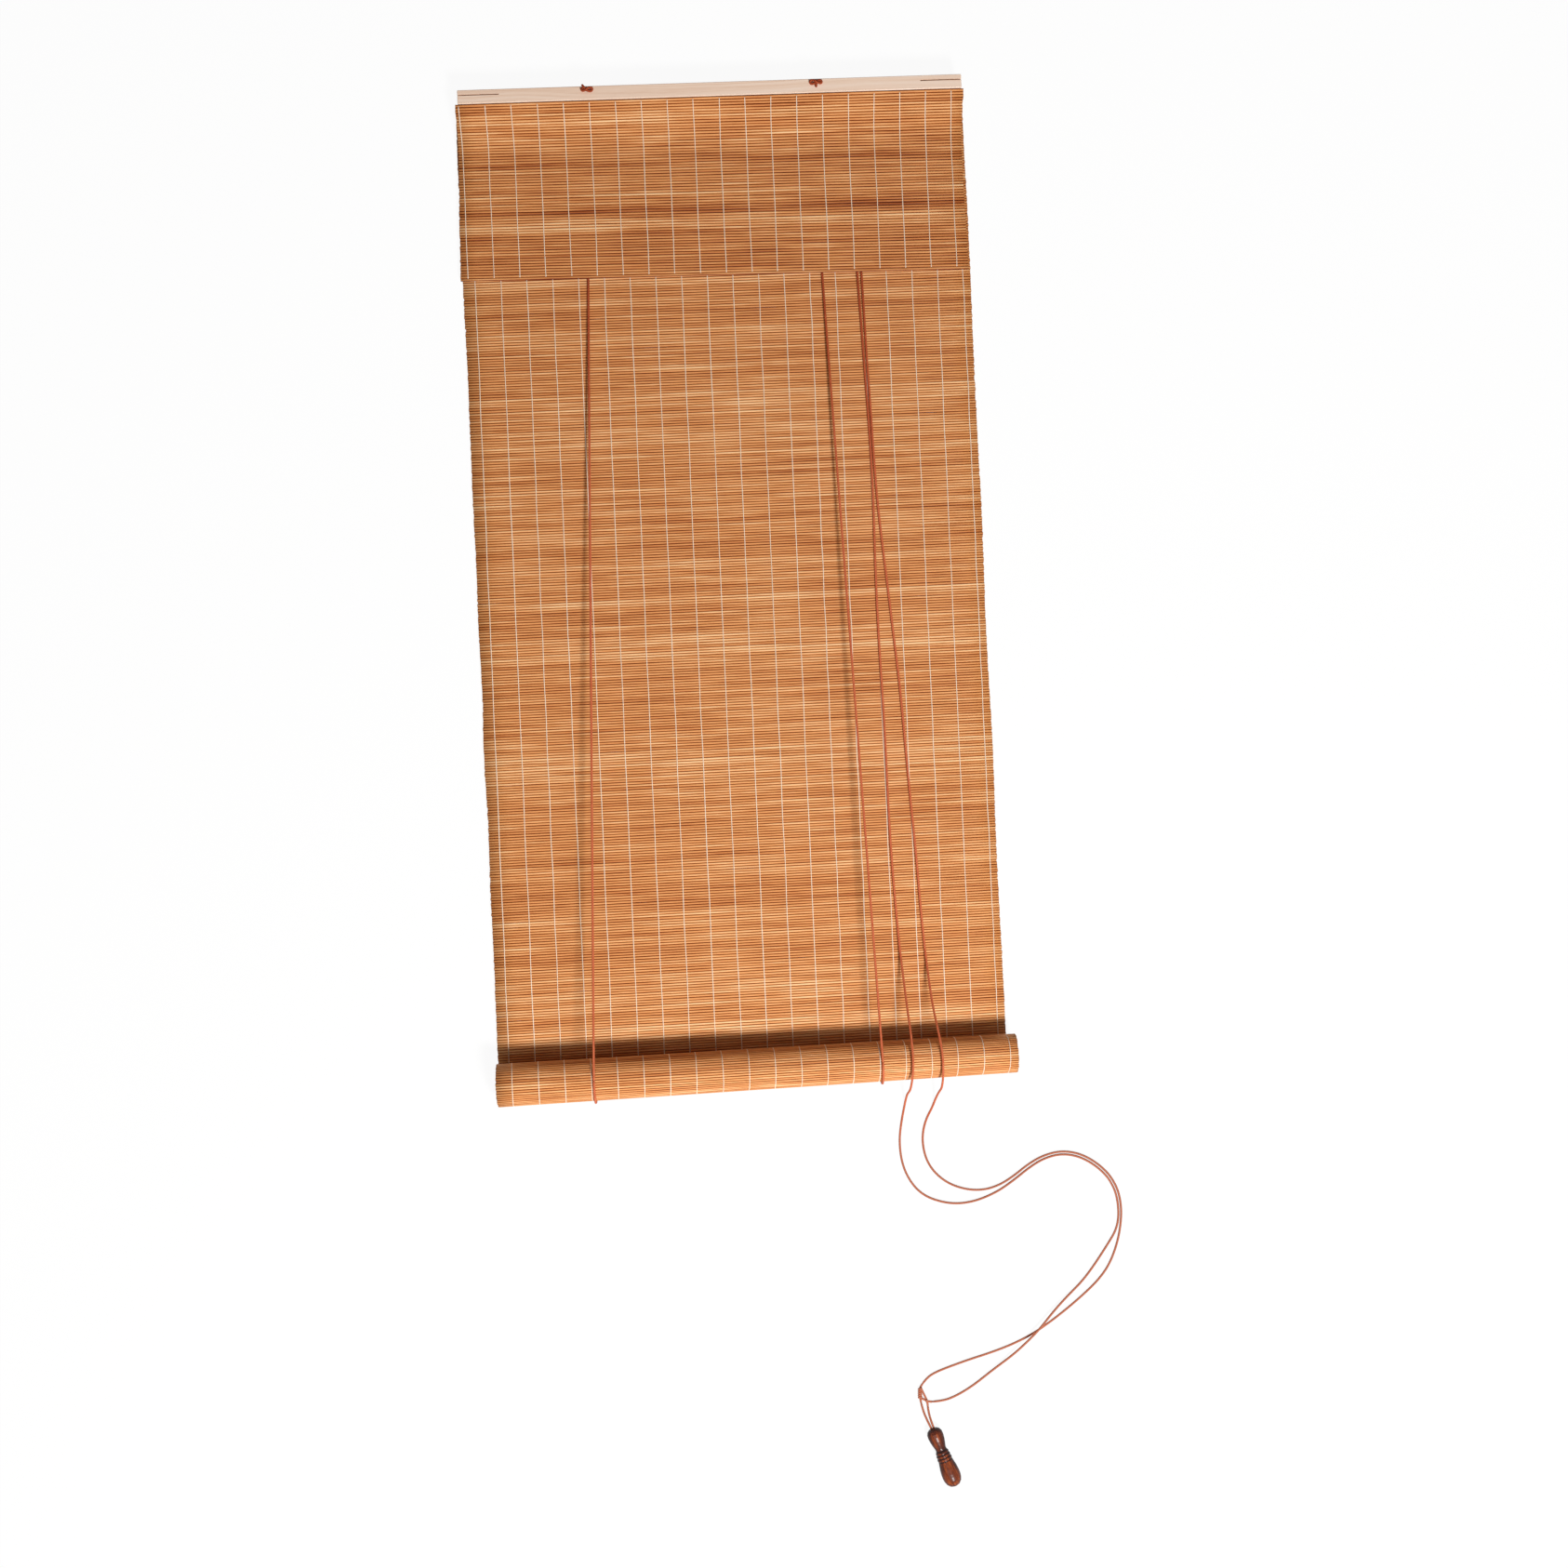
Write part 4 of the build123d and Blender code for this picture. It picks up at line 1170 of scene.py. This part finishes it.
def makeBatten():
    # a bar with rounded edges, less two kerfs and two cord holes
    low, high = nodeBox("head_batten")
    edge = batten["edge"]
    bevel = batten["bevel"]
    past = batten["past"]
    stations = [(low[0], bevel), (low[0] + bevel, 0.0), (high[0] - bevel, 0.0), (high[0], bevel)]
    rings = [battenRing(low, high, edge, inset) for _, inset in stations]
    points = np.concatenate([np.c_[np.full(len(r), x), r] for (x, _), r in zip(stations, rings)])
    piece = meshPiece("planed_batten", points, bundleFaces(1, 4, 20), "pine", smooth=False)

    kerfY = high[1] - batten["kerfFromRear"]
    half = batten["kerfWidth"] / 2
    length = batten["kerfLength"]
    cuts = []
    for left, right in ((low[0] - past, low[0] + length), (high[0] - length, high[0] + past)):
        a = np.array([left, kerfY - half, high[2] - batten["kerfDepth"]])
        b = np.array([right, kerfY + half, high[2] + past])
        cuts.append(blockShape(a, b))
    for side in lift.values():
        z = np.array([low[2] - past, high[2] + past])
        line = np.stack([np.full(2, side["hole"]), np.full(2, liftShared["holeY"]), z], 1)
        bore = carryRing(line, batten["hole"], batten["holeSides"]).reshape(-1, 3)
        cuts.append((bore, bundleFaces(1, 2, batten["holeSides"])))
    for number, (shape, faces) in enumerate(cuts):
        cutter = meshPiece(f"cut_{number}", shape, faces, "pine", smooth=False)
        cut = piece.modifiers.new("cut", "BOOLEAN")
        cut.operation = "DIFFERENCE"
        cut.solver = "EXACT"
        cut.object = cutter
        bpy.context.view_layer.update()
        settled = piece.evaluated_get(bpy.context.evaluated_depsgraph_get())
        made = bpy.data.meshes.new_from_object(settled)
        piece.modifiers.clear()
        piece.data = made
        bpy.data.objects.remove(cutter)
    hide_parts("head_batten")
    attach(piece, "head")


makeBatten()
print("batten cut")


# The pieces that keep their own shape

for name, node in frame["nodes"].items():
    if not node.hide_render:
        finish = finishes[slotOf[name]]
        node.data.materials.clear()
        node.data.materials.append(finish)
print("hardware finished")


# Floor, light and surroundings

studio = {
    "ambient": 0.12,
    "bounce": (1.0, 0.84, 0.72, 1.0),
    "key": {"way": (0.3, -0.74, 1.0), "power": 144.0, "size": 0.75},
    "fill": {"way": (-0.3, -0.5, 1.0), "power": 12.0, "size": 1.3},
    "distance": 3.6,
    "target": (0.0, -0.1, 0.0),
    "floorShade": 0.92,
    "floorClear": 0.94,
    "floorReach": 6.0,
    "floorZ": -0.0004,
}


def seenWhite(finish):
    # 1 for what the camera, a gloss or a clear piece sees, 0 for light on a surface
    kinds = ("Camera", "Glossy", "Transmission")
    camera, gloss, clear = [finish.node("ShaderNodeLightPath", output=f"Is {kind} Ray") for kind in kinds]
    return finish.highest(finish.highest(camera, gloss), clear)


def makeStudio():
    # a matt white floor, a key lamp from the foot of the object, a wide fill and pale surroundings
    floor = newFinish("floor")
    shade = (*[studio["floorShade"]] * 3, 1)
    plain = floor.node("ShaderNodeBsdfDiffuse", None, {"Color": shade})
    white = floor.node("ShaderNodeEmission", None, {"Color": (1, 1, 1, 1), "Strength": 1.0})
    share = seenWhite(floor) * studio["floorClear"]
    mixed = floor.node("ShaderNodeMixShader", None, {0: share, 1: plain, 2: white})
    floor.node("ShaderNodeOutputMaterial", None, {"Surface": mixed})
    mesh = bpy.data.meshes.new("floor")
    reach = studio["floorReach"]
    square = ((-reach, -reach), (reach, -reach), (reach, reach), (-reach, reach))
    mesh.from_pydata([(*corner, studio["floorZ"]) for corner in square], [], [(0, 1, 2, 3)])
    mesh.materials.append(floor.owner)
    ground = bpy.data.objects.new("floor", mesh)
    bpy.context.collection.objects.link(ground)

    for name in ("key", "fill"):
        look = studio[name]
        way = np.array(look["way"]) / np.linalg.norm(look["way"])
        lamp = bpy.data.lights.new(name, "AREA")
        lamp.energy = look["power"]
        lamp.shape = "DISK"
        lamp.size = look["size"]
        holder = bpy.data.objects.new(name, lamp)
        holder.location = np.array(studio["target"]) + way * studio["distance"]
        holder.rotation_euler = (math.acos(way[2]), 0, math.atan2(way[0], -way[1]))
        bpy.context.collection.objects.link(holder)

    sky = Finish(bpy.data.worlds.new("surroundings"))
    bpy.context.scene.world = sky.owner
    seen = seenWhite(sky)
    strength = seen * (1 - studio["ambient"]) + studio["ambient"]
    colour = sky.mix(seen, studio["bounce"], (1, 1, 1, 1))
    back = sky.node("ShaderNodeBackground", None, {"Color": colour, "Strength": strength})
    sky.node("ShaderNodeOutputWorld", None, {"Surface": back})
    bpy.context.scene.view_settings.view_transform = "Standard"


makeStudio()
print("studio lit")
